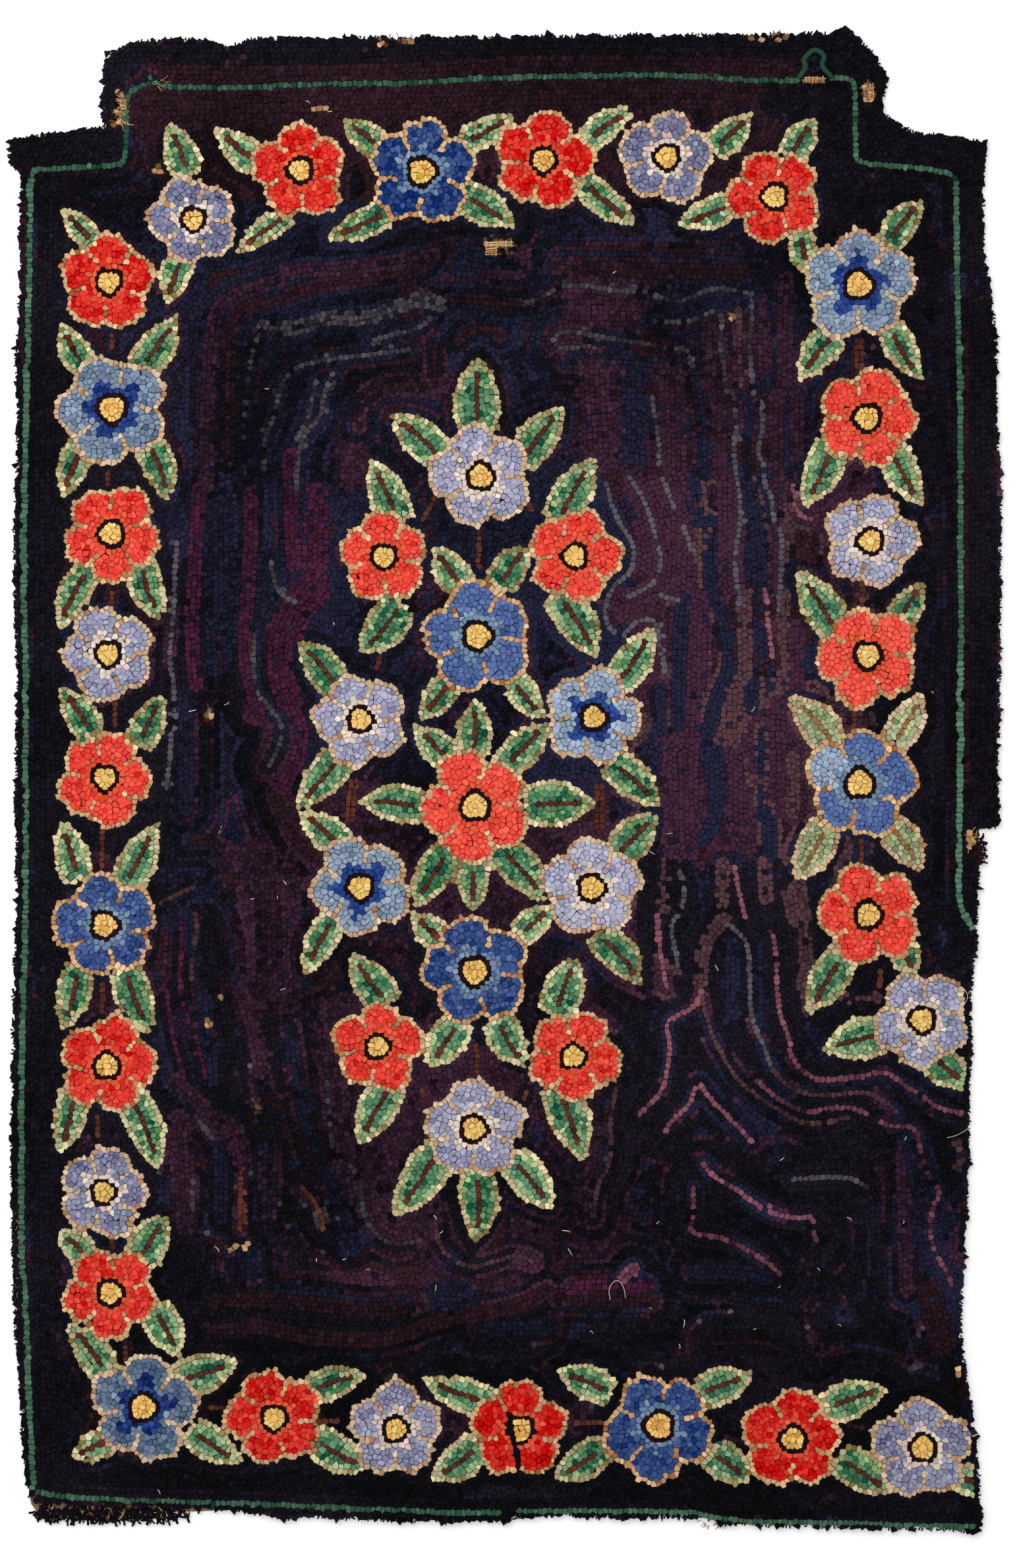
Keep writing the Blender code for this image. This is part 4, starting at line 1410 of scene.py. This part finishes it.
def hooked_piece(name, chosen, material, sizes, seed):
    """One piece of the pile: the chosen loops, joined."""
    worked = worked_loops()
    cells = loop_cells()
    chance = np.random.default_rng(seed)
    parts = []
    offset = 0
    kinds = [(sides, skirts) for sides in range(3, int(cells.count.max()) + 1) for skirts in (False, True)]
    for sides, skirts in kinds:
        members = np.nonzero(chosen & (cells.count == sides) & (cells.at_edge == skirts))[0]
        if not len(members):
            continue
        count = len(members)
        corners = cells.corners[cells.first[members][:, None] + np.arange(sides)]
        middle = corners.mean(axis=1, keepdims=True)
        spokes = corners - middle
        softened = 0.88 * spokes + 0.06 * (np.roll(spokes, 1, axis=1) + np.roll(spokes, -1, axis=1))
        heights = np.array([surface_height(x, y, PILE_BOX[1].z - 0.0008) for x, y in worked.places[members]])
        heights += sizes.height_waver * np.clip(chance.normal(size=count), -2.0, 2.0)
        heights -= LOW_CLOTH_DROP * np.isin(worked.cloth[members], LOW_CLOTHS)
        lean = 0.35 * PX * chance.normal(size=(count, 1, 2))
        rim = middle + 0.985 * spokes
        spread = 1.0 + 0.07 * chance.normal(size=(count, 1, 1)) + 0.06 * chance.normal(size=(count, sides, 1))
        top = middle + TOP_SHARE * softened * np.clip(spread, 0.8, 1.2) + lean
        tilt = chance.normal(scale=0.20, size=(count, 1, 2))
        rise = np.sum(tilt * (top - middle), axis=2)
        depth = cleft_depth(corners)
        rim_z = heights[:, None] - sizes.loop_relief * (0.25 + 0.95 * depth)
        top_z = heights[:, None] + rise + CRUMPLE * np.clip(chance.normal(size=(count, sides)), -2.0, 2.0)
        levels = [np.dstack((rim, rim_z)), np.dstack((top, top_z))]
        if skirts:
            foot = np.full((count, sides), PILE_BOX[0].z + 0.0002)
            levels.append(np.dstack((middle + 0.94 * spokes, foot)))
        points = np.concatenate(levels, axis=1)
        light = worked.light[members] + cloth_waver(worked.cloth[members]) * chance.normal(size=count)
        colour = cloth_colours(worked.cloth[members], light)
        colour *= 1.0 + 0.04 * chance.normal(size=(count, 3))
        # Painted shade: each loop's rim ring is darkened by the cleft's depth, and the skirts at the rug's rim are
        # darkened evenly
        shade = np.ones(points.shape[:2])
        shade[:, :sides] -= CLEFT_PAINTED_SHADE * depth
        shade[:, 2 * sides:] -= CLEFT_PAINTED_SHADE
        colours = np.clip(colour[:, None, :] * shade[:, :, None], 0.0, 1.0)
        faces = loop_faces(sides, skirts)
        numbers = np.arange(count)[:, None, None] * points.shape[1] + faces[None, :, :] + offset
        parts.append((points.reshape(-1, 3), numbers.reshape(-1, 3), colours.reshape(-1, 3)))
        offset += count * points.shape[1]
    points, faces, colours = (np.concatenate(columns) for columns in zip(*parts))
    piece = joined_mesh(name, points, faces, colours, smooth=False)
    piece.data.materials.append(material)
    add_top_map(piece)
    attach(piece, "root")
    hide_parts("hooked_pile")
    return piece


# The materials

class Wire:
    """A shader socket that Python's operators add Math nodes to."""

    def __init__(self, shader, socket):
        self.shader = shader
        self.socket = socket

    def _math(self, operation, first, second):
        return self.shader.node("ShaderNodeMath", {"operation": operation}, {0: first, 1: second}).out(0)

    def __add__(self, other):
        return self._math("ADD", self, other)

    def __radd__(self, other):
        return self._math("ADD", other, self)

    def __sub__(self, other):
        return self._math("SUBTRACT", self, other)

    def __rsub__(self, other):
        return self._math("SUBTRACT", other, self)

    def __mul__(self, other):
        return self._math("MULTIPLY", self, other)

    def __rmul__(self, other):
        return self._math("MULTIPLY", other, self)

    def above(self, limit):
        return self._math("GREATER_THAN", self, limit)


class Added:
    """A node that was added, whose outputs can be wired on."""

    def __init__(self, shader, node):
        self.shader = shader
        self.node = node

    def out(self, key):
        return Wire(self.shader, self.node.outputs[key])


class Shader:
    """A material's nodes."""

    def __init__(self, name):
        self.material = bpy.data.materials.new(name)
        self.material.use_nodes = True
        self.tree = self.material.node_tree
        self.surface = self.tree.nodes["Principled BSDF"]

    def node(self, kind, settings, sockets):
        """Adds a node, with its settings first and then the values or wires of its sockets."""
        node = self.tree.nodes.new(kind)
        for key, value in settings.items():
            if key == "stops":
                ramp = node.color_ramp.elements
                while len(ramp) < len(value):
                    ramp.new(0.5)
                for element, (position, colour) in zip(ramp, value):
                    element.position = position
                    element.color = colour
            else:
                setattr(node, key, value)
        for key, value in sockets.items():
            self.join(node.inputs[key], value)
        return Added(self, node)

    def join(self, socket, value):
        """Sets a socket to a value or a wire."""
        if isinstance(value, Wire):
            self.tree.links.new(value.socket, socket)
        else:
            socket.default_value = value

    def finish(self, **sockets):
        """Sets the surface's sockets, whose names have underscores for spaces."""
        for name, value in sockets.items():
            self.join(self.surface.inputs[name.replace("_", " ")], value)
        return self.material


def mix_colours(shader, share, first, second, blend="MIX"):
    """One colour mixed with another by a share."""
    settings = {"data_type": "RGBA", "blend_type": blend}
    return shader.node("ShaderNodeMix", settings, {0: share, 6: first, 7: second}).out(2)


@functools.lru_cache(maxsize=None)
def strip_cloth():
    """Matte woven cloth, cut in strips: the colour comes with each loop, with fine threads and wear."""
    shader = Shader("hooked_cloth_strips")
    places = shader.node("ShaderNodeTexCoord", {}, {}).out("Object")
    colour = shader.node("ShaderNodeAttribute", {"attribute_name": "strip_colour"}, {}).out("Color")
    threads = shader.node("ShaderNodeTexNoise", {}, {
        "Vector": places, "Scale": 1400.0, "Detail": 2.0, "Roughness": 0.6}).out(0)
    worn = shader.node("ShaderNodeTexNoise", {}, {
        "Vector": places, "Scale": 330.0, "Detail": 2.0, "Roughness": 0.5}).out(0)
    lightness = 0.40 + threads * 0.60 + worn * 0.60
    speckled = shader.node("ShaderNodeVectorMath", {"operation": "SCALE"}, {0: colour, "Scale": lightness}).out(0)
    bump = shader.node("ShaderNodeBump", {}, {
        "Strength": 0.5, "Distance": 0.0006, "Height": threads}).out(0)
    return shader.finish(
        Base_Color=speckled, Roughness=0.92 - worn * 0.10, Normal=bump, Specular_IOR_Level=0.12, Metallic=0.0,
    )


@functools.lru_cache(maxsize=None)
def bed_painted_shade():
    """The dark clefts between the loops."""
    shader = Shader("clefts_between_loops")
    places = shader.node("ShaderNodeTexCoord", {}, {}).out("Object")
    fluff = shader.node("ShaderNodeTexNoise", {}, {"Vector": places, "Scale": 500.0, "Detail": 3.0}).out(0)
    # Near-black tones as painted shade in the clefts
    colour = mix_colours(shader, fluff, (0.004, 0.003, 0.006, 1.0), (0.016, 0.010, 0.014, 1.0))
    bump = shader.node("ShaderNodeBump", {}, {"Strength": 0.6, "Distance": 0.001, "Height": fluff}).out(0)
    return shader.finish(Base_Color=colour, Roughness=0.95, Normal=bump, Specular_IOR_Level=0.05)


@functools.lru_cache(maxsize=None)
def hessian_cloth(pitch):
    """Plain-woven hessian: raised threads both ways, uneven in colour, with dark holes between them."""
    shader = Shader("hessian_weave")
    places = shader.node("ShaderNodeTexCoord", {}, {}).out("Object")
    drift = shader.node("ShaderNodeTexNoise", {}, {"Vector": places, "Scale": 60.0, "Detail": 2.0}).out(1)
    moved = shader.node("ShaderNodeVectorMath", {"operation": "MULTIPLY_ADD"}, {
        0: drift, 1: (0.0016, 0.0016, 0.0), 2: places}).out(0)
    waves = []
    for direction in ("X", "Y"):
        waves.append(shader.node("ShaderNodeTexWave", {"bands_direction": direction}, {
            "Vector": moved, "Scale": math.pi / 10.0 / pitch, "Distortion": 0.0}).out(1))
    threads = shader.node("ShaderNodeMath", {"operation": "MAXIMUM"}, {0: waves[0], 1: waves[1]}).out(0)
    fibre = shader.node("ShaderNodeTexNoise", {}, {"Vector": places, "Scale": 900.0, "Detail": 3.0}).out(0)
    stain = shader.node("ShaderNodeTexNoise", {}, {"Vector": places, "Scale": 25.0, "Detail": 3.0}).out(0)
    tones = shader.node("ShaderNodeValToRGB", {"stops": (
        (0.30, (0.30, 0.17, 0.08, 1.0)), (0.55, (0.55, 0.36, 0.19, 1.0)), (0.80, (0.72, 0.55, 0.36, 1.0)))}, {
        0: stain * 0.6 + fibre * 0.4}).out(0)
    # Painted shade: the holes between the threads are darkened towards a deep brown
    hole_shade = (1.0 - threads) * 0.9
    colour = mix_colours(shader, hole_shade, tones, (0.10, 0.055, 0.03, 1.0))
    bump = shader.node("ShaderNodeBump", {}, {
        "Strength": 0.9, "Distance": 0.0008, "Height": threads * 0.7 + fibre * 0.3}).out(0)
    return shader.finish(Base_Color=colour, Roughness=0.95, Normal=bump, Specular_IOR_Level=0.1)


# The operators, one for each piece or group of like pieces

def by_box(places, low_x_px, high_x_px, low_y_px, high_y_px):
    """Which places lie between two columns and two rows of the photo."""
    low = on_floor(low_x_px, high_y_px)
    high = on_floor(high_x_px, low_y_px)
    return np.all((places >= low) & (places < high), axis=1)


MOTIF_CLOTHS = [name for name in CLOTHS if name not in GROUND_CLOTHS + ("border", "crack", "worn")]
BOUQUET_BOX_PX = (400, 1040, 500, 1900)


class HOOKED_RUG_OT_motifs(bpy.types.Operator):
    """Hooks the flowers, leaves and stems of the garland and the bouquet"""

    bl_idname = "hooked_rug.motifs"
    bl_label = "Hook the flowers and leaves"

    def execute(self, context):
        worked = worked_loops()
        motif = np.isin(worked.cloth, MOTIF_CLOTHS)
        bouquet = by_box(worked.places, *BOUQUET_BOX_PX)
        x_px = worked.places[:, 0] / PX + MIDDLE_X_PX
        y_px = MIDDLE_Y_PX - worked.places[:, 1] / PX
        upper = y_px < 560
        lower = y_px > 2040
        sides = ~upper & ~lower
        groups = {
            "bouquet_hooking": bouquet,
            "garland_hooking_upper": ~bouquet & upper,
            "garland_hooking_lower": ~bouquet & lower,
            "garland_hooking_left": ~bouquet & sides & (x_px < 700),
            "garland_hooking_right": ~bouquet & sides & (x_px >= 700),
        }
        for number, (name, chosen) in enumerate(groups.items()):
            hooked_piece(name, motif & chosen, strip_cloth(), context.scene.hooked_rug_sizes, 900 + number)
        return {"FINISHED"}


class HOOKED_RUG_OT_border(bpy.types.Operator):
    """Hooks the green border line"""

    bl_idname = "hooked_rug.border"
    bl_label = "Hook the border line"

    def execute(self, context):
        worked = worked_loops()
        hooked_piece("border_line_hooking", worked.cloth == "border", strip_cloth(),
                     context.scene.hooked_rug_sizes, 920)
        return {"FINISHED"}


class HOOKED_RUG_OT_ground(bpy.types.Operator):
    """Hooks the dark ground in fields from the top of the rug to its foot"""

    bl_idname = "hooked_rug.ground"
    bl_label = "Hook the dark ground"

    def execute(self, context):
        worked = worked_loops()
        ground = np.isin(worked.cloth, GROUND_CLOTHS + ("crack", "worn"))
        y_px = MIDDLE_Y_PX - worked.places[:, 1] / PX
        limits = (-100, 480, 900, 1330, 1740, 2060, 2500)
        for number, (start, end) in enumerate(zip(limits, limits[1:])):
            chosen = ground & (y_px >= start) & (y_px < end)
            hooked_piece(f"ground_hooking_{number + 1}", chosen, strip_cloth(),
                         context.scene.hooked_rug_sizes, 940 + number)
        return {"FINISHED"}


def strand_mesh(places, radius, sides=5):
    """The points and triangles of a thin strand: a ring drawn on from place to place, with closed ends."""
    places = [Vector(place) for place in places]
    headings = [(after - before).normalized() for before, after in zip(places, places[1:])]
    mesh = bmesh.new()
    start = Matrix.Translation(places[0]) @ headings[0].to_track_quat("Z", "Y").to_matrix().to_4x4()
    ring = bmesh.ops.create_circle(mesh, cap_ends=True, segments=sides, radius=radius, matrix=start)["verts"]
    edges = list(mesh.edges)
    facing = headings[0]
    for k, heading in enumerate(headings):
        made = bmesh.ops.extrude_edge_only(mesh, edges=edges)["geom"]
        ring = [item for item in made if isinstance(item, bmesh.types.BMVert)]
        edges = [item for item in made if isinstance(item, bmesh.types.BMEdge) and set(item.verts) <= set(ring)]
        bmesh.ops.translate(mesh, vec=places[k + 1] - places[k], verts=ring)
        following = (heading + headings[min(k + 1, len(headings) - 1)]).normalized()
        bmesh.ops.rotate(mesh, cent=places[k + 1], matrix=facing.rotation_difference(following).to_matrix(), verts=ring)
        facing = following
    bmesh.ops.contextual_create(mesh, geom=edges)
    bmesh.ops.recalc_face_normals(mesh, faces=mesh.faces)
    bmesh.ops.triangulate(mesh, faces=mesh.faces)
    mesh.verts.index_update()
    points = np.array([tuple(vertex.co) for vertex in mesh.verts])
    triangles = np.array([[vertex.index for vertex in face.verts] for face in mesh.faces])
    mesh.free()
    return points, triangles


def strand_piece(name, strands, seed):
    """One piece of many loose strands, each with its places, radius and cloth."""
    chance = np.random.default_rng(seed)
    points, triangles, colours = [], [], []
    count = 0
    for places, radius, cloth in strands:
        strand_points, strand_triangles = strand_mesh(places, radius)
        tone = cloth_colours(np.array([cloth]), np.array([chance.uniform(-0.2, 0.8)]))
        points.append(strand_points)
        triangles.append(strand_triangles + count)
        colours.append(np.repeat(tone, len(strand_points), axis=0))
        count += len(strand_points)
    piece = joined_mesh(name, np.vstack(points), np.vstack(triangles), np.vstack(colours))
    piece.data.materials.append(strip_cloth())
    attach(piece, "root")
    return piece


THREADS = ("worn", "bare")
THREAD_RADIUS = 0.6 * PX
TUFT_RADIUS = 1.6 * PX


def woven_patches(chance):
    """The crossed threads of the bare patches of hessian."""
    for low_x_px, low_y_px, high_x_px, high_y_px, height in BARE_PATCHES:
        low, high = on_floor(low_x_px, high_y_px), on_floor(high_x_px, low_y_px)
        for upright in (0, 1):
            count = max(2, round((high[upright] - low[upright]) / BARE_PITCH))
            for k in range(count):
                ends = []
                for end in (low, high):
                    place = np.array(end, dtype=float)
                    place[upright] = low[upright] + (k + 0.5) * (high[upright] - low[upright]) / count
                    ends.append(place + chance.normal(scale=0.9 * PX, size=2))
                middle = (ends[0] + ends[1]) / 2.0 + chance.normal(scale=0.6 * PX, size=2)
                line = [(x, y, height + 0.0003 * upright) for x, y in (ends[0], middle, ends[1])]
                yield line, 1.5 * THREAD_RADIUS, "bare"


def bent_strand(chance, start, heading, length, height, radius, steps=4):
    """A short loose strand that bends as it goes and lies near a height."""
    bend = chance.normal(scale=0.35)
    places = []
    at = np.array(start, dtype=float)
    for step in range(steps):
        rise = radius * 1.2 * math.sin(math.pi * step / (steps - 1)) * chance.uniform(0.2, 1.4)
        places.append((at[0], at[1], height + rise))
        heading += bend
        at = at + length / (steps - 1) * np.array((math.cos(heading), math.sin(heading)))
    return places


def tattered_strands(chance, cloths):
    """The broken threads and tufts of the given cloths in the tattered places."""
    for cloth, x_px, y_px, half_x_px, half_y_px, count, length_px, heading, spread, height in TATTERED:
        if cloth not in cloths:
            continue
        for _ in range(count):
            turn = chance.uniform(0.0, 2.0 * math.pi)
            out = math.sqrt(chance.uniform(0.0, 1.0))
            start = on_floor(x_px + half_x_px * out * math.cos(turn), y_px + half_y_px * out * math.sin(turn))
            direction = math.radians(heading + spread * chance.normal())
            radius = (THREAD_RADIUS if cloth in THREADS else TUFT_RADIUS) * chance.uniform(0.8, 1.3)
            length = length_px * PX * chance.uniform(0.5, 1.3)
            level = height + chance.uniform(0.0, 0.0012)
            yield bent_strand(chance, start, direction, length, level, radius), radius, cloth


class HOOKED_RUG_OT_threads(bpy.types.Operator):
    """Adds the pulled-out strip, the frayed threads and tufts of the worn places, and the lint"""

    bl_idname = "hooked_rug.threads"
    bl_label = "Add the loose threads"

    def execute(self, context):
        chance = np.random.default_rng(71)
        top = PILE_BOX[1].z
        threads = list(tattered_strands(chance, THREADS)) + list(woven_patches(chance))
        strand_piece("frayed_threads", threads, 72)
        tufts = list(tattered_strands(chance, ("black", "maroon")))
        rim = outlines_of("hooked_pile")[0]
        places, angles = walk(inset(finely(anticlockwise(rim), True, 0.002), 1.5 * PX), 5.2 * PX, True)
        for place, angle in zip(places, angles):
            if chance.uniform() < 0.75:
                heading = angle - math.pi / 2.0 + chance.normal(scale=0.7)
                level = chance.uniform(0.45, 0.80) * top
                length = chance.uniform(2.0, 4.5) * PX
                tufts.append((bent_strand(chance, place, heading, length, level, 1.3 * PX), 1.3 * PX, "black"))
        strand_piece("rim_tufts", tufts, 73)
        lint = []
        for x_px, y_px, length_px, heading in LINT:
            start = on_floor(x_px, y_px)
            lint.append((bent_strand(chance, start, math.radians(heading), length_px * PX, top - 0.0002, 0.6 * PX),
                         0.6 * PX, "lint"))
        for line in WHITE_THREADS:
            line = rounded(np.array([on_floor(*place) for place in line]))
            lint.append(([(x, y, top + 0.0001) for x, y in line], 0.55 * PX, "lint"))
        strand_piece("lint_and_threads", lint, 74)
        strip = rounded(np.array([on_floor(*place) for place in PULLED_STRIP]), 1)
        places, _ = walk(strip, 5.5 * PX)
        heights = top - 0.0004 + 0.0012 * np.sin(np.linspace(0.0, math.pi, len(places)))
        strand = [(x, y, z) for (x, y), z in zip(places, heights)]
        strand_piece("pulled_strip", [(strand, 4.2 * PX, "border")], 75)
        return {"FINISHED"}


class HOOKED_RUG_OT_bed(bpy.types.Operator):
    """Makes the bed that the loops grow from, seen in the clefts between them"""

    bl_idname = "hooked_rug.bed"
    bl_label = "Make the bed of the loops"

    def execute(self, context):
        sizes = context.scene.hooked_rug_sizes
        mesh = welded_copy("hooked_pile")
        middle_height = (PILE_BOX[0].z + PILE_BOX[1].z) / 2.0
        outward = {}
        for face in mesh.faces:
            if abs(face.normal.z) < 0.5:
                for vertex in face.verts:
                    outward[vertex] = outward.get(vertex, Vector()) + face.normal
        for vertex, direction in outward.items():
            direction.z = 0.0
            vertex.co -= direction.normalized() * sizes.bed_inset
        for vertex in mesh.verts:
            if vertex.co.z > middle_height:
                vertex.co.z -= 1.05 * sizes.loop_relief
        bmesh.ops.recalc_face_normals(mesh, faces=mesh.faces)
        data = bpy.data.meshes.new("pile_bed")
        mesh.to_mesh(data)
        mesh.free()
        data.materials.append(bed_painted_shade())
        piece = bpy.data.objects.new("pile_bed", data)
        context.scene.collection.objects.link(piece)
        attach(piece, "root")
        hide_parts("hooked_pile")
        return {"FINISHED"}


class HOOKED_RUG_OT_hessian(bpy.types.Operator):
    """Makes the hessian foundation with its frayed rim"""

    bl_idname = "hooked_rug.hessian"
    bl_label = "Make the hessian foundation"

    def execute(self, context):
        sizes = context.scene.hooked_rug_sizes
        mesh = welded_copy("foundation")
        rim_edges = [
            edge for edge in mesh.edges
            if sum(abs(face.normal.z) < 0.5 for face in edge.link_faces) == 1
        ]
        bmesh.ops.subdivide_edges(mesh, edges=rim_edges, cuts=4, use_grid_fill=False)
        for vertex in mesh.verts:
            x, y, _ = vertex.co
            if any(abs(face.normal.z) < 0.5 for face in vertex.link_faces):
                fray = 0.0009
                vertex.co.x += fray * noise.noise(Vector((x * 420.0, y * 420.0, 3.0)))
                vertex.co.y += fray * noise.noise(Vector((x * 420.0, y * 420.0, 9.0)))
        bmesh.ops.triangulate(mesh, faces=[face for face in mesh.faces if len(face.verts) > 4])
        data = bpy.data.meshes.new("hessian_cloth")
        mesh.to_mesh(data)
        mesh.free()
        data.materials.append(hessian_cloth(sizes.weave_pitch))
        piece = bpy.data.objects.new("hessian_cloth", data)
        context.scene.collection.objects.link(piece)
        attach(piece, "root")
        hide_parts("foundation")
        return {"FINISHED"}


class HOOKED_RUG_OT_stage(bpy.types.Operator):
    """Sets up the floor, the lamps and the camera over the rug"""

    bl_idname = "hooked_rug.stage"
    bl_label = "Set up the stage"

    def execute(self, context):
        stage = context.scene.hooked_rug_stage
        scene = context.scene
        mesh = bmesh.new()
        bmesh.ops.create_grid(mesh, x_segments=1, y_segments=1, size=6.0)
        data = bpy.data.meshes.new("pale_floor")
        mesh.to_mesh(data)
        mesh.free()
        shader = Shader("pale_floor")
        data.materials.append(shader.finish(
            Base_Color=(0.93, 0.93, 0.93, 1.0), Roughness=0.9, Emission_Color=(1.0, 1.0, 1.0, 1.0),
            Emission_Strength=0.3))
        floor = bpy.data.objects.new("pale_floor", data)
        scene.collection.objects.link(floor)

        world = bpy.data.worlds.new("even_light")
        world.use_nodes = True
        sky = world.node_tree.nodes["Background"]
        sky.inputs["Color"].default_value = (1.0, 1.0, 1.0, 1.0)
        sky.inputs["Strength"].default_value = stage.sky_strength
        scene.world = world

        lamps = (
            ("overhead_lamp", (-0.5, 0.9, 3.2), 2.2, stage.lamp_power),
            ("side_lamp", (-2.4, 1.6, 1.7), 1.2, stage.side_power),
        )
        for name, place, size, power in lamps:
            light = bpy.data.lights.new(name, "AREA")
            light.size = size
            light.energy = power
            lamp = bpy.data.objects.new(name, light)
            lamp.location = place
            lamp.rotation_euler = (-Vector(place)).to_track_quat("-Z", "Y").to_euler()
            scene.collection.objects.link(lamp)

        camera = bpy.data.cameras.new("camera_over_rug")
        camera.sensor_fit = "VERTICAL"
        camera.sensor_height = 24.0
        view_height = PHOTO_HEIGHT_PX * PX
        camera.lens = camera.sensor_height * (stage.camera_height - CAD_BOX[1].z) / view_height
        camera.clip_end = 50.0
        eye = bpy.data.objects.new("camera_over_rug", camera)
        middle = on_floor(PHOTO_WIDTH_PX / 2.0, PHOTO_HEIGHT_PX / 2.0)
        eye.location = (middle[0], middle[1], stage.camera_height)
        scene.collection.objects.link(eye)
        scene.camera = eye
        scene.view_settings.view_transform = "Standard"
        return {"FINISHED"}


class HOOKED_RUG_PT_panel(bpy.types.Panel):
    """The rug's operators and settings in the sidebar"""

    bl_idname = "HOOKED_RUG_PT_panel"
    bl_label = "Hooked Rug"
    bl_space_type = "VIEW_3D"
    bl_region_type = "UI"
    bl_category = "Hooked Rug"

    def draw(self, context):
        for operator in OPERATORS:
            self.layout.operator(operator.bl_idname)
        for name in SETTINGS:
            box = self.layout.box()
            group = getattr(context.scene, name)
            for key in group.__annotations__:
                box.prop(group, key)


OPERATORS = (
    HOOKED_RUG_OT_hessian, HOOKED_RUG_OT_bed, HOOKED_RUG_OT_motifs, HOOKED_RUG_OT_border, HOOKED_RUG_OT_ground,
    HOOKED_RUG_OT_threads, HOOKED_RUG_OT_stage,
)
SETTINGS = {
    "hooked_rug_sizes": HookedRugSizes,
    "hooked_rug_cloths": HookedRugCloths,
    "hooked_rug_stage": HookedRugStage,
}


def register():
    """Registers the settings, operators and panel."""
    for name, group in SETTINGS.items():
        bpy.utils.register_class(group)
        setattr(bpy.types.Scene, name, bpy.props.PointerProperty(type=group))
    for kind in (*OPERATORS, HOOKED_RUG_PT_panel):
        bpy.utils.register_class(kind)


def unregister():
    """Takes the panel, operators and settings off again."""
    for kind in (HOOKED_RUG_PT_panel, *reversed(OPERATORS)):
        bpy.utils.unregister_class(kind)
    for name, group in reversed(SETTINGS.items()):
        delattr(bpy.types.Scene, name)
        bpy.utils.unregister_class(group)


def main():
    """Makes every piece and the stage, and writes the sizes."""
    register()
    bpy.ops.hooked_rug.hessian()
    bpy.ops.hooked_rug.bed()
    bpy.ops.hooked_rug.motifs()
    bpy.ops.hooked_rug.border()
    bpy.ops.hooked_rug.ground()
    bpy.ops.hooked_rug.threads()
    bpy.ops.hooked_rug.stage()


if __name__ == "__main__":
    main()
